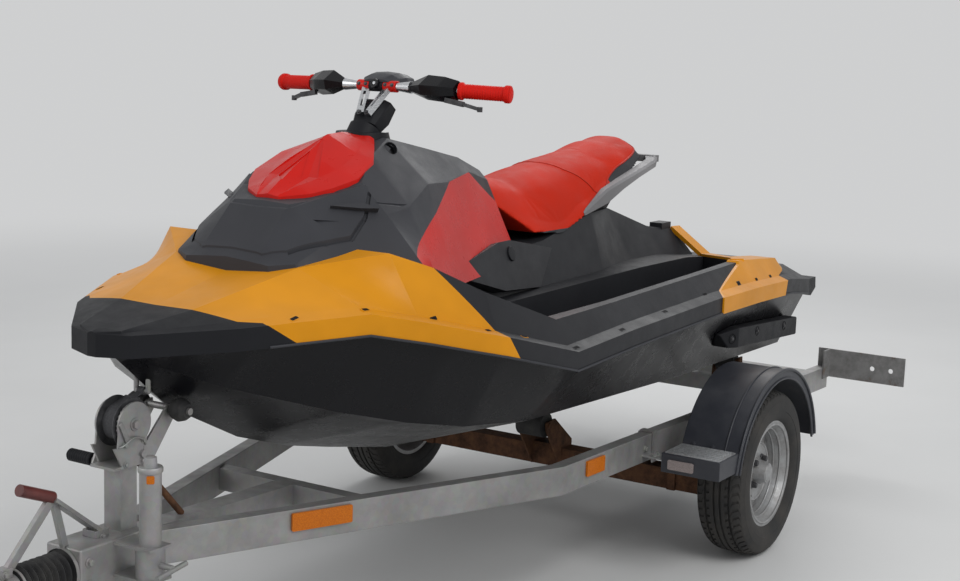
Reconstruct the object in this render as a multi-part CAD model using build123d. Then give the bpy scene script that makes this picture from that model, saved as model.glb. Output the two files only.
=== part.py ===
from build123d import *
import os
from math import radians, sin, cos, acos, atan2, hypot, pi

os.makedirs("parts", exist_ok=True)

# A sit-down personal watercraft resting on its braked road trailer.
# Millimetres. X runs forward, Y to port, Z up from the floor; X = 0 is halfway along the whole outfit.

# Overall driving dimensions
HALF_LENGTH = 1900.0        # coupling nose to lamp bracket is twice this
BOW_X = 1415.0
STERN_X = -1635.0
AXLE_X = -700.0
TRACK = 1326.0
SEAM = 0.3                  # clearance where soft or moving pieces meet what carries them


def ring(x, half):
    """Closed wire in the plane X = x from a port outline of (y, z), bottom centre to top centre."""
    port = [(x, y, z) for y, z in half]
    starboard = [(x, -y, z) for y, z in reversed(half) if y > 0]
    return Wire.make_polygon([Vector(*p) for p in port + starboard], close=True)


def skin(stations):
    """Ruled solid through the rings of a list of (x, port outline)."""
    return Part() + Solid.make_loft([ring(x, half) for x, half in stations], ruled=True)


def side_prism(points, y0, y1):
    """Prism of an (x, z) outline between two Y planes."""
    face = make_face(Polyline(*[(x, y0, z) for x, z in points], close=True))
    return Part() + extrude(face, amount=y1 - y0, dir=(0, 1, 0))


def plan_prism(points, z0, z1):
    """Prism of an (x, y) outline between two heights."""
    face = make_face(Polyline(*[(x, y, z0) for x, y in points], close=True))
    return Part() + extrude(face, amount=z1 - z0, dir=(0, 0, 1))


def block(x0, x1, y0, y1, z0, z1):
    """Axis-aligned block between its low and high corners."""
    centre = Pos((x0 + x1) / 2, (y0 + y1) / 2, (z0 + z1) / 2)
    return Part() + centre * Box(abs(x1 - x0), abs(y1 - y0), abs(z1 - z0))


def rod(start, end, radius):
    """Round bar between two points."""
    a, b = Vector(*start), Vector(*end)
    plane = Plane(origin=a, z_dir=b - a)
    return Part() + plane * Cylinder(radius, (b - a).length, align=(Align.CENTER, Align.CENTER, Align.MIN))


def tube(start, end, radius, bore):
    """Round tube between two points."""
    return rod(start, end, radius) - rod(start, end, bore)


def bar(start, end, width, height):
    """Flat or square bar between two points; width lies across, height stands up."""
    a, b = Vector(*start), Vector(*end)
    along = (b - a).normalized()
    side = Vector(0, 0, 1).cross(along)
    if side.length < 0.01:
        side = Vector(0, 1, 0)
    plane = Plane(origin=a, x_dir=side, z_dir=along)
    return Part() + plane * Box(width, height, (b - a).length, align=(Align.CENTER, Align.CENTER, Align.MIN))


def t(v):
    return (v.X, v.Y, v.Z)


def both(part):
    """A piece and its mirror image across the centre plane."""
    return Part() + [part, mirror(part, Plane.XZ)]


def joined(pieces):
    """Fuse a list of solids into one part."""
    total = Part()
    for piece in pieces:
        total += piece
    return total


def write(name, part):
    export_step(part, f"parts/{name}.step")


# Hull, keel line pitched a little bow-up on its rollers
# Columns: x, keel z, chine y, chine z, side y, bond line z
HULL = [
    (-1540, 352, 400, 500, 486, 690),
    (-600, 372, 440, 535, 562, 750),
    (319, 428, 450, 575, 572, 725),
    (581, 482, 420, 605, 524, 793),
    (756, 522, 370, 640, 465, 838),
    (941, 582, 290, 690, 386, 880),
    (1180, 700, 165, 770, 255, 868),
    (1330, 826, 25, 840, 76, 857),
]

# Deck shell above the bond line
# Columns: x, half beam, ridge z, crest y, crest z, centre z
SHELL = [
    (-1540, 505, 742, 400, 785, 785),
    (-1380, 524, 763, 440, 797, 797),
    (-1290, 534, 774, 462, 833, 826),
    (-940, 562, 792, 484, 864, 852),
    (-600, 580, 800, 500, 862, 862),
    (0, 592, 790, 512, 852, 852),
    (319, 590, 775, 520, 850, 850),
    (581, 542, 844, 470, 945, 945),
    (700, 505, 873, 395, 1010, 1010),
    (808, 462, 900, 342, 1050, 1050),
    (952, 398, 932, 188, 1015, 1000),
    (1219, 246, 917, 108, 942, 940),
    (1388, 88, 905, 60, 912, 914),
    (1415, 12, 903, 8, 906, 908),
]
HULL_LAP = 26.0             # hull sides run on up inside the rub band by this much
BAND = 50.0                 # height of the rub band between bond line and ridge
LEDGE = 35.0                # ledge set in above the band
LEDGE_RISE = 12.0

# Footwells
WELL_X0, WELL_X1 = -1080.0, 420.0
WELL_FLOOR = 640.0
WELL_IN, WELL_OUT = 300.0, 92.0

# Boundary planes between the body colours, as (x, z) points in side view
SHROUD_AFT = [(545, 794), (700, 1010)]
BUMPER_PLAN = [(1219, 108), (1203, 222), (1165, 262), (1165, 600)]
BUMPER_LOW = [(1166, 922), (1090, 866), (1090, 700), (1166, 700)]

# Hood and console above the shell
# Columns: x, edge y, edge z, shoulder y, shoulder z, top y, top z
UPPER = [
    (985, 132, 985, 125, 1016, 60, 1022),
    (952, 190, 985, 180, 1022, 90, 1050),
    (860, 285, 985, 200, 1064, 84, 1146),
    (750, 362, 985, 232, 1102, 150, 1165),
    (690, 385, 985, 250, 1122, 172, 1195),
    (600, 345, 960, 252, 1136, 130, 1248),
    (467, 315, 930, 215, 1180, 85, 1288),
    (300, 275, 930, 168, 1172, 88, 1256),
    (120, 235, 930, 118, 1185, 78, 1222),
    (-20, 205, 930, 90, 1152, 62, 1178),
]
CONSOLE_CUT = [(690, 1030), (290, 1172), (110, 1186), (-20, 1150)]
HOOD_AFT_X = 690.0

# Seat and pedestal
# Columns: x, crown y, crown z, shoulder y, shoulder z, skirt y, skirt z
SEAT = [
    (72, 24, 1196, 56, 1178, 78, 1146),
    (-20, 30, 1168, 76, 1142, 118, 1084),
    (-133, 40, 1149, 100, 1116, 190, 1000),
    (-280, 48, 1183, 118, 1148, 202, 986),
    (-470, 58, 1219, 128, 1178, 188, 1036),
    (-640, 60, 1240, 128, 1200, 172, 1088),
    (-800, 52, 1249, 116, 1210, 152, 1136),
    (-920, 40, 1239, 96, 1206, 124, 1172),
    (-978, 26, 1216, 64, 1196, 88, 1184),
]
# Columns: x, foot y, foot z, top y, top z
PEDESTAL = [
    (420, 300, 640, 240, 940),
    (60, 300, 640, 205, 960),
    (-166, 300, 640, 196, 976),
    (-480, 298, 640, 180, 1030),
    (-730, 290, 640, 110, 1020),
    (-985, 296, 690, 132, 941),
    (-1150, 300, 760, 150, 922),
    (-1240, 230, 780, 120, 846),
]


def hull_outline(row):
    x, keel_z, chine_y, chine_z, side_y, bond_z = row
    wall = (bond_z - chine_z) / (side_y - chine_y)
    top_y = side_y + HULL_LAP / wall
    return x, [(0, keel_z), (chine_y, chine_z), (top_y, bond_z + HULL_LAP), (0, bond_z + HULL_LAP)]


def shell_outline(row):
    x, beam, ridge_z, crest_y, crest_z, centre_z = row
    half = [
        (0, ridge_z - BAND),
        (beam, ridge_z - BAND),
        (beam, ridge_z),
        (max(beam - LEDGE, crest_y + 2), ridge_z + min(LEDGE_RISE, (crest_z - ridge_z) * 0.4)),
        (crest_y, crest_z),
        (0, centre_z),
    ]
    return x, half


def upper_outline(row):
    x, edge_y, edge_z, shoulder_y, shoulder_z, top_y, top_z = row
    return x, [(0, edge_z), (edge_y, edge_z), (shoulder_y, shoulder_z), (top_y, top_z), (0, top_z + 4)]


shell = skin([shell_outline(row) for row in SHELL])
hull = skin([hull_outline(row) for row in HULL])

# Engine bay and pump tunnel inside the hull
ENGINE_X0, ENGINE_X1 = -380.0, 160.0
ENGINE_HALF, ENGINE_Z0, ENGINE_Z1 = 150.0, 505.0, 740.0
BAY_GAP = 4.0
TUNNEL_R, PUMP_Z = 100.0, 462.0
TUNNEL_X1 = -1060.0
bay = block(ENGINE_X0 - BAY_GAP, ENGINE_X1 + BAY_GAP, -ENGINE_HALF - BAY_GAP, ENGINE_HALF + BAY_GAP,
            ENGINE_Z0, ENGINE_Z1 + BAY_GAP)
tunnel = rod((-1600, 0, PUMP_Z), (TUNNEL_X1, 0, PUMP_Z), TUNNEL_R)
tunnel += block(-1600, TUNNEL_X1, -TUNNEL_R, TUNNEL_R, 300, PUMP_Z)
hull = hull - bay - tunnel
write("engine_block", block(ENGINE_X0, ENGINE_X1, -ENGINE_HALF, ENGINE_HALF, ENGINE_Z0, ENGINE_Z1))

# Split the shell into bumper, amber shroud and grey deck
FAR = 900.0                 # beyond the sides of everything
bumper_zone = plan_prism([(x, y) for x, y in BUMPER_PLAN] + [(1600, 600), (1600, -600)]
                         + [(x, -y) for x, y in reversed(BUMPER_PLAN)], 700, 1100)
bumper_zone += both(side_prism(BUMPER_LOW, 200, 600))
(x_low, z_low), (x_high, z_high) = SHROUD_AFT
lean = (x_high - x_low) / (z_high - z_low)
front_zone = side_prism([(x_low - lean * (z_low - 600), 600), (x_low + lean * (1200 - z_low), 1200),
                         (1600, 1200), (1600, 600)], -FAR, FAR)
bow_bumper = shell & bumper_zone
front_shroud = (shell & front_zone) - bumper_zone
deck = shell - front_zone
write("bow_bumper", bow_bumper)
write("front_shroud", front_shroud)


def well_outline(x, beam):
    return Wire.make_polygon([Vector(x, WELL_IN, WELL_FLOOR), Vector(x, beam - WELL_OUT - 30, WELL_FLOOR),
                              Vector(x, beam - WELL_OUT, 1100), Vector(x, WELL_IN, 1100)], close=True)


WELL_ROWS = [(WELL_X0, 550), (-600, 580), (0, 592), (319, 590), (WELL_X1, 566)]
well = Part() + Solid.make_loft([well_outline(x, beam) for x, beam in WELL_ROWS], ruled=True)
WELL_BACK = [(-1100, 290), (WELL_X0, 290), (-925, 500), (-1100, 500)]     # slanted rear wall in plan
well -= plan_prism(WELL_BACK, WELL_FLOOR - 1, 1200)
hull = hull - shell - both(well)
pedestal = skin([(x, [(0, fz), (fy, fz), (ty, tz), (0, tz)]) for x, fy, fz, ty, tz in PEDESTAL])
pedestal = pedestal - bay
deck = (deck - both(well) - bay) + (pedestal - hull)

upper = skin([upper_outline(row) for row in UPPER]) - shell - pedestal
upper_zone = side_prism([(CONSOLE_CUT[0][0] + 60, CONSOLE_CUT[0][1] - 30)] + CONSOLE_CUT
                        + [(-200, 1150), (-200, 1400), (1100, 1400), (1100, 950), (HOOD_AFT_X, 950)], -FAR, FAR)
hood_zone = side_prism([(HOOD_AFT_X, 900), (HOOD_AFT_X, 1400), (1100, 1400), (1100, 900)], -FAR, FAR)
hood = upper & hood_zone
console = (upper - hood_zone) & upper_zone
lower = (upper - hood_zone) - upper_zone
knee_split = 120.0
core = block(-300, 900, -knee_split, knee_split, 800, 1400)
knees = lower - core
deck = deck + (lower & core)
TAIL_BLOCK = (-1132, -1062, 100, 146, 900, 947)
deck = deck + both(block(*TAIL_BLOCK))

# Red nose cover standing on the hood and console front
# Columns: x, rim y, rim z, shoulder y, shoulder z, crown z
NOSE = [
    (838, 34, 1158, 26, 1166, 1170),
    (794, 98, 1168, 50, 1184, 1206),
    (750, 132, 1182, 70, 1197, 1234),
    (691, 162, 1203, 99, 1220, 1262),
    (607, 146, 1245, 92, 1256, 1298),
    (545, 102, 1272, 70, 1283, 1302),
    (505, 72, 1287, 60, 1293, 1299),
]
NOSE_FOOT = 1110.0
nose_cover = skin([(x, [(0, NOSE_FOOT), (ry, NOSE_FOOT), (ry, rz), (sy, sz), (0, cz)]) for x, ry, rz, sy, sz, cz in NOSE])

# Sunk facet down its middle between the two raised sides, and a shallow kite in it
# Columns: x, half width of the floor, half width of the brim, depth
FACET = [
    (870, 30, 36, 4),
    (838, 30, 36, 6),
    (740, 48, 76, 13),
    (650, 8, 21, 6),
    (630, 2, 8, 2),
]
KITE = [(676, 0), (752, 36), (788, 0), (752, -36)]
KITE_DEPTH = 4.0


def nose_top(x, y):
    """Height of the uncut cover between crown and shoulder."""
    rows = sorted(NOSE)
    for low, high in zip(rows, rows[1:]):
        if x <= high[0] or high is rows[-1]:
            share = (x - low[0]) / (high[0] - low[0])
            shoulder_y, shoulder_z, crown = [a + (b - a) * share for a, b in zip(low[3:], high[3:])]
            return crown - (crown - shoulder_z) * y / shoulder_y
    return None


def facet_ring(x, floor_y, brim_y, depth):
    floor = nose_top(x, floor_y) - depth
    brim = nose_top(x, brim_y)
    port = [(0, nose_top(x, 0) - depth), (floor_y, floor), (brim_y, brim), (brim_y + 2, brim + 60)]
    return x, port


facet_cut = skin([facet_ring(*row) for row in FACET])
kite_cut = plan_prism(KITE, 1100, 1400) & (Pos(0, 0, -KITE_DEPTH) * facet_cut)
nose_cover = nose_cover - facet_cut - kite_cut
hood = hood - nose_cover
console = console - nose_cover

# Forms in the hood: raised centre panel between two grooves, a slot, a fin and side gills
PANEL_RISE, GROOVE_W, GROOVE_DEPTH = 5.0, 9.0, 9.0
PANEL_EDGE = [(966, 96), (938, 146), (862, 200), (803, 230), (741, 222), (690, 196)]


def patch(points, below, above):
    """Prism on a flat outline of points, from below its plane to above it, outside up."""
    corners = [Vector(*p) for p in points]
    normal = (corners[1] - corners[0]).cross(corners[2] - corners[0]).normalized()
    if normal.Z < 0:
        normal = normal * -1
    flat = [c - normal * ((c - corners[0]).dot(normal) + below) for c in corners]
    return Part() + extrude(make_face(Polyline(*flat, close=True)), amount=below + above, dir=normal)


skin_layer = hood - Pos(0, 0, -GROOVE_DEPTH) * hood
groove = Part()
for (x0, y0), (x1, y1) in zip(PANEL_EDGE[1:], PANEL_EDGE[2:]):
    groove += bar((x0, y0, 1150), (x1, y1, 1150), GROOVE_W, 400)
panel_zone = plan_prism([(x, y - GROOVE_W / 2) for x, y in PANEL_EDGE]
                        + [(x, GROOVE_W / 2 - y) for x, y in reversed(PANEL_EDGE)], 950, 1300)
panel = ((Pos(0, 0, PANEL_RISE) * hood) & panel_zone) - nose_cover
panel = panel & side_prism([(HOOD_AFT_X, 900), (HOOD_AFT_X, 1190), (1000, 1100), (1000, 900)], -FAR, FAR)
hood = hood + panel - both(groove & skin_layer)
SLOT = [(850, 150, 1121), (785, 216, 1122), (806, 222, 1108), (843, 184, 1108)]
FIN = [(797, 159, 1142), (734, 207, 1149), (712, 240, 1136), (745, 214, 1138)]
GILLS = [
    [(702, 219, 1158), (602, 249, 1146), (670, 246, 1146)],
    [(744, 221, 1139), (691, 286, 1112), (727, 267, 1120)],
    [(791, 230, 1112), (744, 292, 1082), (779, 265, 1094)],
]
GILL_DEPTH = 9.0
hood -= both(patch(SLOT, 14, 30))
hood += both(patch(FIN, 20, 6)) - nose_cover - console
for gill in GILLS:
    recess = both(patch(gill, GILL_DEPTH, 20))
    hood -= recess
    console -= recess
HOLE_AT, HOLE_R = (490, 112, 1262), 17.0
console -= both(rod(HOLE_AT, (HOLE_AT[0] + 40, HOLE_AT[1] + 80, HOLE_AT[2] + 40), HOLE_R))
console -= both(rod((HOLE_AT[0] - 10, HOLE_AT[1] - 16, HOLE_AT[2] - 10), HOLE_AT, HOLE_R))
write("nose_cover", nose_cover)
write("hood", hood)
write("console", console)
write("knee_panels", knees)
write("deck", deck)

# Seat cushion, simple solid just clear of what carries it
seat = skin([(x, [(0, sz + SEAM), (sy, sz + SEAM), (my, mz), (cy, cz), (0, cz)]) for x, cy, cz, my, mz, sy, sz in SEAT])
seat = seat - console - deck - knees
write("seat", seat)

# Underseat shell, dark, between the pedestal and the raised tail of the seat
seat_shell = skin([
    (-520, [(0, 880), (90, 880), (150, 1035), (0, 1060)]),
    (-760, [(0, 985), (72, 985), (124, 1112), (0, 1128)]),
    (-950, [(0, 1112), (60, 1118), (92, 1166), (0, 1174)]),
]) - pedestal - seat
seat_shell = Part() + [s for s in seat_shell.solids() if s.volume > 50000]
write("seat_shell", seat_shell)

# Grab handle: a tapering wing each side, joined round the tail of the seat
# Columns: x, inner y, outer y, low z, high z
WING = [
    (-425, 178, 190, 1026, 1040),
    (-569, 166, 192, 1054, 1098),
    (-680, 158, 190, 1092, 1122),
    (-800, 148, 184, 1122, 1144),
    (-950, 128, 166, 1146, 1168),
    (-1010, 96, 140, 1156, 1178),
]
wing = Part() + Solid.make_loft([
    Wire.make_polygon([Vector(x, yi, zl), Vector(x, yo, zl), Vector(x, yo, zh - 6), Vector(x, yo - 8, zh),
                       Vector(x, yi, zh)], close=True) for x, yi, yo, zl, zh in WING], ruled=True)
WING_FOOT = [(-560, 1062), (-560, 1080), (-640, 1104), (-640, 1078)]
grab_handle = both(wing + side_prism(WING_FOOT, 100, 170))
tail_x, tail_in, tail_out, tail_low, tail_high = WING[-1]
grab_handle += block(tail_x - 26, tail_x + 12, -tail_out + 6, tail_out - 6, tail_low, tail_high)
grab_handle = grab_handle - seat - seat_shell - pedestal
grab_handle = Part() + max(grab_handle.solids(), key=lambda s: s.volume)
write("grab_handle", grab_handle)

# Side doors with their round latches, on the plane that the pedestal and knee panels share
DOOR = [(361, 929), (161, 876), (-67, 858), (-200, 952), (71, 1002), (141, 1003), (425, 964)]
DOOR_Y, DOOR_LEAN_X, DOOR_LEAN_Z = 232.0, 0.12, -0.3
DOOR_T = 30.0               # reach inwards to the pedestal
LATCH_AT, LATCH_R, LATCH_PROUD = (81, 966), 21.0, 5.0


def door_point(x, z):
    return (x, DOOR_Y + DOOR_LEAN_X * x + DOOR_LEAN_Z * (z - 950), z)


out_dir = Vector(-DOOR_LEAN_X, 1, -DOOR_LEAN_Z).normalized()
latch_at = Vector(*door_point(*LATCH_AT))
latch = rod(t(latch_at - out_dir * 8), t(latch_at + out_dir * LATCH_PROUD), LATCH_R)
door = patch([door_point(x, z) for x, z in DOOR], DOOR_T, 0) - deck - knees - hull - seat - latch
door = Part() + max(door.solids(), key=lambda s: s.volume)
write("side_doors", both(door))
write("door_latches", both(latch - deck))

# Rear platform, corner covers, tail trim, sponsons
platform = skin([
    (-1635, [(0, 668), (478, 668), (494, 700), (492, 738), (0, 738)]),
    (-1540, [(0, 692), (495, 692), (505, 710), (505, 742), (0, 742)]),
])
write("rear_platform", platform)

COVER_T = 6.0
cover_rows = [(x, b + COVER_T, rz, cy + COVER_T, cz + COVER_T, cen + COVER_T)
              for x, b, rz, cy, cz, cen in SHELL[:5]]
cover_skin = skin([shell_outline(row) for row in cover_rows])
COVER_SIDE = [(-556, 735), (-578, 780), (-600, 800), (-905, 860), (-950, 900), (-1310, 900), (-1345, 806), (-1230, 790),
              (-1206, 725)]
cover_zone = side_prism(COVER_SIDE, 380, 700)
cover = (cover_skin & cover_zone) - shell - well
corner_covers = both(Part() + [s for s in cover.solids() if s.volume > 5000])
write("corner_covers", corner_covers)

TRIM_LINE = [(-1150, 152, 926), (-1118, 286, 846), (-940, 478, 866)]
TRIM_W, TRIM_T = 44.0, 14.0
trim = joined([bar(a, b, TRIM_W, TRIM_T) for a, b in zip(TRIM_LINE, TRIM_LINE[1:])])
trim = trim - deck - hull - cover - well
trim = Part() + [s for s in trim.solids() if s.volume > 3000]
write("tail_trim", both(trim))

sponson_side = side_prism([(-1426, 560), (-1426, 622), (-820, 672), (-725, 660), (-770, 612)], 440, 590)
sponson_trim = plan_prism([(-1426, 440), (-725, 440), (-725, 520), (-820, 548), (-1426, 510)], 500, 750)
sponson = (sponson_side & sponson_trim) - hull - shell
sponson = Part() + max(sponson.solids(), key=lambda s: s.center().Y)
write("sponsons", both(sponson))

# Bow eye on the stem
EYE_X, EYE_Z, EYE_R, EYE_HALF = 1262.0, 752.0, 6.0, 18.0
bow_eye = rod((EYE_X, -EYE_HALF, EYE_Z), (EYE_X, EYE_HALF, EYE_Z), EYE_R)
for side in (-1, 1):
    bow_eye += rod((EYE_X, side * EYE_HALF, EYE_Z), (EYE_X, side * EYE_HALF, EYE_Z + 48), EYE_R)
    bow_eye += Part() + Pos(EYE_X, side * EYE_HALF, EYE_Z) * Sphere(EYE_R)
bow_eye = bow_eye - hull
bow_eye = Part() + min(bow_eye.solids(), key=lambda s: s.center().Z)
write("bow_eye", bow_eye)

# Jet pump, seen from behind and below
PUMP_R, PUMP_BORE = 96.0, 80.0
SHAFT_R = 12.0
RUN = 0.05
CONE_X = -1300.0
PIVOT_X = -1405.0


def turned_x(profile):
    """Solid of revolution about the pump axis from an (x, radius) outline."""
    face = make_face(Polyline(*[(x, r, PUMP_Z) for x, r in profile], close=True))
    return Part() + revolve(face, axis=Axis((0, 0, PUMP_Z), (1, 0, 0)))


CONE_END = CONE_X - 110
OUTLET_R, OUTLET_BORE = 47.0, 40.0
pump = turned_x([(TUNNEL_X1, PUMP_BORE), (TUNNEL_X1, PUMP_R), (CONE_X, PUMP_R), (CONE_X - 52, OUTLET_R + 5),
                 (CONE_END, OUTLET_R), (CONE_END, OUTLET_BORE), (CONE_X - 52, OUTLET_BORE + 4), (CONE_X, PUMP_BORE)])
VANES = 6
for i in range(VANES):
    vane = block(CONE_X + 8, CONE_X + 64, 25, PUMP_BORE + 6, PUMP_Z - 3, PUMP_Z + 3)
    pump += vane.rotate(Axis((0, 0, PUMP_Z), (1, 0, 0)), (i + 0.5) * 360 / VANES)
pump += rod((CONE_X - 10, 0, PUMP_Z), (CONE_X + 70, 0, PUMP_Z), 30)
pump = pump - rod((CONE_X + 20, 0, PUMP_Z), (CONE_X + 80, 0, PUMP_Z), SHAFT_R + RUN)
PIN_R = 6.0
for side in (-1, 1):
    pump += rod((PIVOT_X, 0, PUMP_Z + side * (OUTLET_R - 3)), (PIVOT_X, 0, PUMP_Z + side * 76), PIN_R)
write("jet_pump", pump)

impeller = rod((CONE_X + 22, 0, PUMP_Z), (TUNNEL_X1 - 15, 0, PUMP_Z), SHAFT_R)
impeller += rod((CONE_X + 80, 0, PUMP_Z), (CONE_X + 175, 0, PUMP_Z), 28)
BLADES = 4
for i in range(BLADES):
    blade = block(CONE_X + 124, CONE_X + 132, 20, PUMP_BORE - 4, PUMP_Z - 34, PUMP_Z + 34)
    blade = blade.rotate(Axis((CONE_X + 128, 0, PUMP_Z), (0, 1, 0)), 38)
    blade = blade & rod((CONE_X + 80, 0, PUMP_Z), (CONE_X + 175, 0, PUMP_Z), PUMP_BORE - 4)
    impeller += blade.rotate(Axis((0, 0, PUMP_Z), (1, 0, 0)), i * 360 / BLADES)
write("impeller", impeller)

nozzle = turned_x([(-1390, 66), (-1390, 74), (-1485, 50), (-1485, 42)])
for side in (-1, 1):
    ear = rod((PIVOT_X, 0, PUMP_Z + side * 62), (PIVOT_X, 0, PUMP_Z + side * 76), 14)
    nozzle += ear
    nozzle -= rod((PIVOT_X, 0, PUMP_Z + side * 50), (PIVOT_X, 0, PUMP_Z + side * 90), PIN_R + RUN)
write("steering_nozzle", nozzle)

# Reverse gate parked above the nozzle
CHANNEL_HALF, CHANNEL_TOP = 116.0, 640.0
GATE_PIVOT = (-1440, 482)
GATE_SWING = 62.0


def gate_arc(a0, a1, r0, r1, half):
    """Arc-shaped slab about the gate pivot, angles from +X towards +Z."""
    steps = [a0 + (a1 - a0) * i / 4 for i in range(5)]
    outer = [(GATE_PIVOT[0] + r1 * cos(radians(a)), GATE_PIVOT[1] + r1 * sin(radians(a))) for a in steps]
    inner = [(GATE_PIVOT[0] + r0 * cos(radians(a)), GATE_PIVOT[1] + r0 * sin(radians(a))) for a in reversed(steps)]
    return side_prism(outer + inner, -half, half)


ARM_IN, ARM_OUT = 90.0, 98.0
gate = gate_arc(122, 158, 150, 158, ARM_OUT)
for side in (-1, 1):
    y0, y1 = sorted((side * ARM_IN, side * ARM_OUT))
    px, pz = GATE_PIVOT
    gate += side_prism([(px + 16, pz), (px, pz + 16), (px - 84, pz + 132), (px - 146, pz + 58), (px - 10, pz - 14)],
                       y0, y1)
    gate -= rod((px, y0 - 5, pz), (px, y1 + 5, pz), 7 + RUN)
write("reverse_gate", gate)

channel = block(-1600, -1325, -CHANNEL_HALF, CHANNEL_HALF, 300, CHANNEL_TOP)
duct = side_prism([(TUNNEL_X1 + 1, 540), (TUNNEL_X1 + 1, 300), (-720, 300), (-990, 540)], -78, 78)
hull = hull - channel - duct
for side in (-1, 1):
    hull += rod((GATE_PIVOT[0], side * (ARM_IN - 4), GATE_PIVOT[1]), (GATE_PIVOT[0], side * (CHANNEL_HALF + 4),
                GATE_PIVOT[1]), 7)
    hull += rod((GATE_PIVOT[0], side * (ARM_OUT + 6), GATE_PIVOT[1]), (GATE_PIVOT[0], side * (CHANNEL_HALF + 4),
                GATE_PIVOT[1]), 14)
hull = Part() + max(hull.solids(), key=lambda s: s.volume)
write("hull", hull)

ride_plate = block(-1540, -1100, -CHANNEL_HALF, CHANNEL_HALF, 374, 382) & (block(-1540, -1325, -CHANNEL_HALF,
                   CHANNEL_HALF, 300, 400) + block(-1326, -1100, -TUNNEL_R, TUNNEL_R, 300, 400))
ride_plate = ride_plate - pump
grate = block(-1040, -740, -78, 78, 386, 394)
GRATE_SLOTS = 5
for i in range(GRATE_SLOTS):
    y = -60 + 120 * i / (GRATE_SLOTS - 1)
    grate -= block(-1020, -770, y - 10, y + 10, 380, 400)
grate = grate - hull
write("ride_plate", ride_plate + grate)

# Steering
RAKE = 38.0
STEER_FOOT = Vector(458, 0, 1286)
STEER_DIR = Vector(-sin(radians(RAKE)), 0, cos(radians(RAKE)))
STEM_R = 16.0
BAR_AHEAD = 36.0            # bar centre ahead of the steering axis
BAR_CENTRE = STEER_FOOT + STEER_DIR * 166 + Vector(BAR_AHEAD, 0, 0)
BAR_R = 11.0
BAR_SWEEP = 62.0            # grip ends sit this far behind the bar centre
BAR_DROP = 6.0
GRIP_END = 368.0

def on_steer(height, y=0.0, ahead=0.0):
    """Point on the steering axis, with an offset to port and one square to the axis, forward."""
    ahead_dir = Vector(cos(radians(RAKE)), 0, sin(radians(RAKE)))
    return STEER_FOOT + STEER_DIR * height + Vector(0, y, 0) + ahead_dir * ahead


# Low round base on the console with a neck that the stem runs in
BASE_R, BASE_TOP_R, BASE_Z = 78.0, 68.0, 1300.0
NECK_R, NECK_TOP = 44.0, 22.0
BOWL_R = 60.0               # room for the tower over the base
TOWER_GAP = 6.0
cowl = Part() + Pos(STEER_FOOT.X, 0, BASE_Z - 38) * Cone(BASE_R, BASE_TOP_R, 38,
                                                        align=(Align.CENTER, Align.CENTER, Align.MIN))
cowl -= rod(t(on_steer(NECK_TOP)), t(on_steer(200)), BOWL_R)
cowl += rod(t(on_steer(-30)), t(on_steer(NECK_TOP)), NECK_R)
cowl -= rod(t(on_steer(-200)), t(on_steer(200)), STEM_R + RUN)
cowl = cowl - console - nose_cover
column_cowl = Part() + max(cowl.solids(), key=lambda s: s.volume)
write("column_cowl", column_cowl)

# Tower that turns with the bar
# Columns: height on the axis, half width, reach ahead, reach behind, corner cut
TOWER = [
    (NECK_TOP + TOWER_GAP, 36, 26, 18, 10),
    (60, 43, 29, 26, 12),
    (112, 40, 12, 30, 12),
]


def tower_ring(height, half, ahead, behind, cut):
    corners = [(half, ahead - cut), (half - cut, ahead), (cut - half, ahead), (-half, ahead - cut), (-half, -behind),
               (half, -behind)]
    return Wire.make_polygon([on_steer(height, y, out) for y, out in corners], close=True)


stem = rod(t(on_steer(16)), t(on_steer(NECK_TOP + TOWER_GAP)), STEM_R)
stem += Part() + Solid.make_loft([tower_ring(*row) for row in TOWER], ruled=True)

# Bright slotted riser arms in front of the tower, up to the bar clamps
ARM_FOOT_Y, ARM_HEAD_Y = 12.0, 36.0
ARM_WIDE, ARM_THICK, ARM_SLOT = 20.0, 13.0, 7.0
CLAMP_Y0, CLAMP_Y1, CLAMP_R = 22.0, 62.0, 15.0
risers = Part()
for side in (-1, 1):
    foot, head = on_steer(50, side * ARM_FOOT_Y, 33), BAR_CENTRE + Vector(0, side * ARM_HEAD_Y, 0)
    risers += bar(t(foot), t(head), ARM_WIDE, ARM_THICK)
    risers -= bar(t(foot + (head - foot) * 0.22), t(foot + (head - foot) * 0.74), ARM_SLOT, 3 * ARM_THICK)
risers -= stem
clamps = Part()
for side in (-1, 1):
    clamps += rod(t(BAR_CENTRE + Vector(0, side * CLAMP_Y0, 0)), t(BAR_CENTRE + Vector(0, side * CLAMP_Y1, 0)), CLAMP_R)
left_end = BAR_CENTRE + Vector(-BAR_SWEEP, GRIP_END - 4, -BAR_DROP)
BEND_Y = 96.0
knee_pt = BAR_CENTRE + Vector(0, BEND_Y, 0)
handlebar = rod(t(BAR_CENTRE), t(knee_pt), BAR_R)
handlebar += Part() + Pos(*t(knee_pt)) * Sphere(BAR_R)
handlebar += rod(t(knee_pt), t(left_end), BAR_R)
# Thick cast shoulder of the bar beside each clamp
SHOULDER_Y0, SHOULDER_R = 66.0, 16.0
handlebar += Part() + Plane(origin=BAR_CENTRE + Vector(0, SHOULDER_Y0, 0), z_dir=(0, 1, 0)) * Cone(
    BAR_R, SHOULDER_R, BEND_Y + 10 - SHOULDER_Y0, align=(Align.CENTER, Align.CENTER, Align.MIN))
handlebar = both(handlebar)
clamps -= handlebar
risers = risers - clamps - handlebar
bar_dir = (left_end - knee_pt).normalized()


def along_bar(y):
    """Point on the port half of the bar at a distance y from the centre plane."""
    return knee_pt + bar_dir * ((y - knee_pt.Y) / bar_dir.Y)


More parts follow.
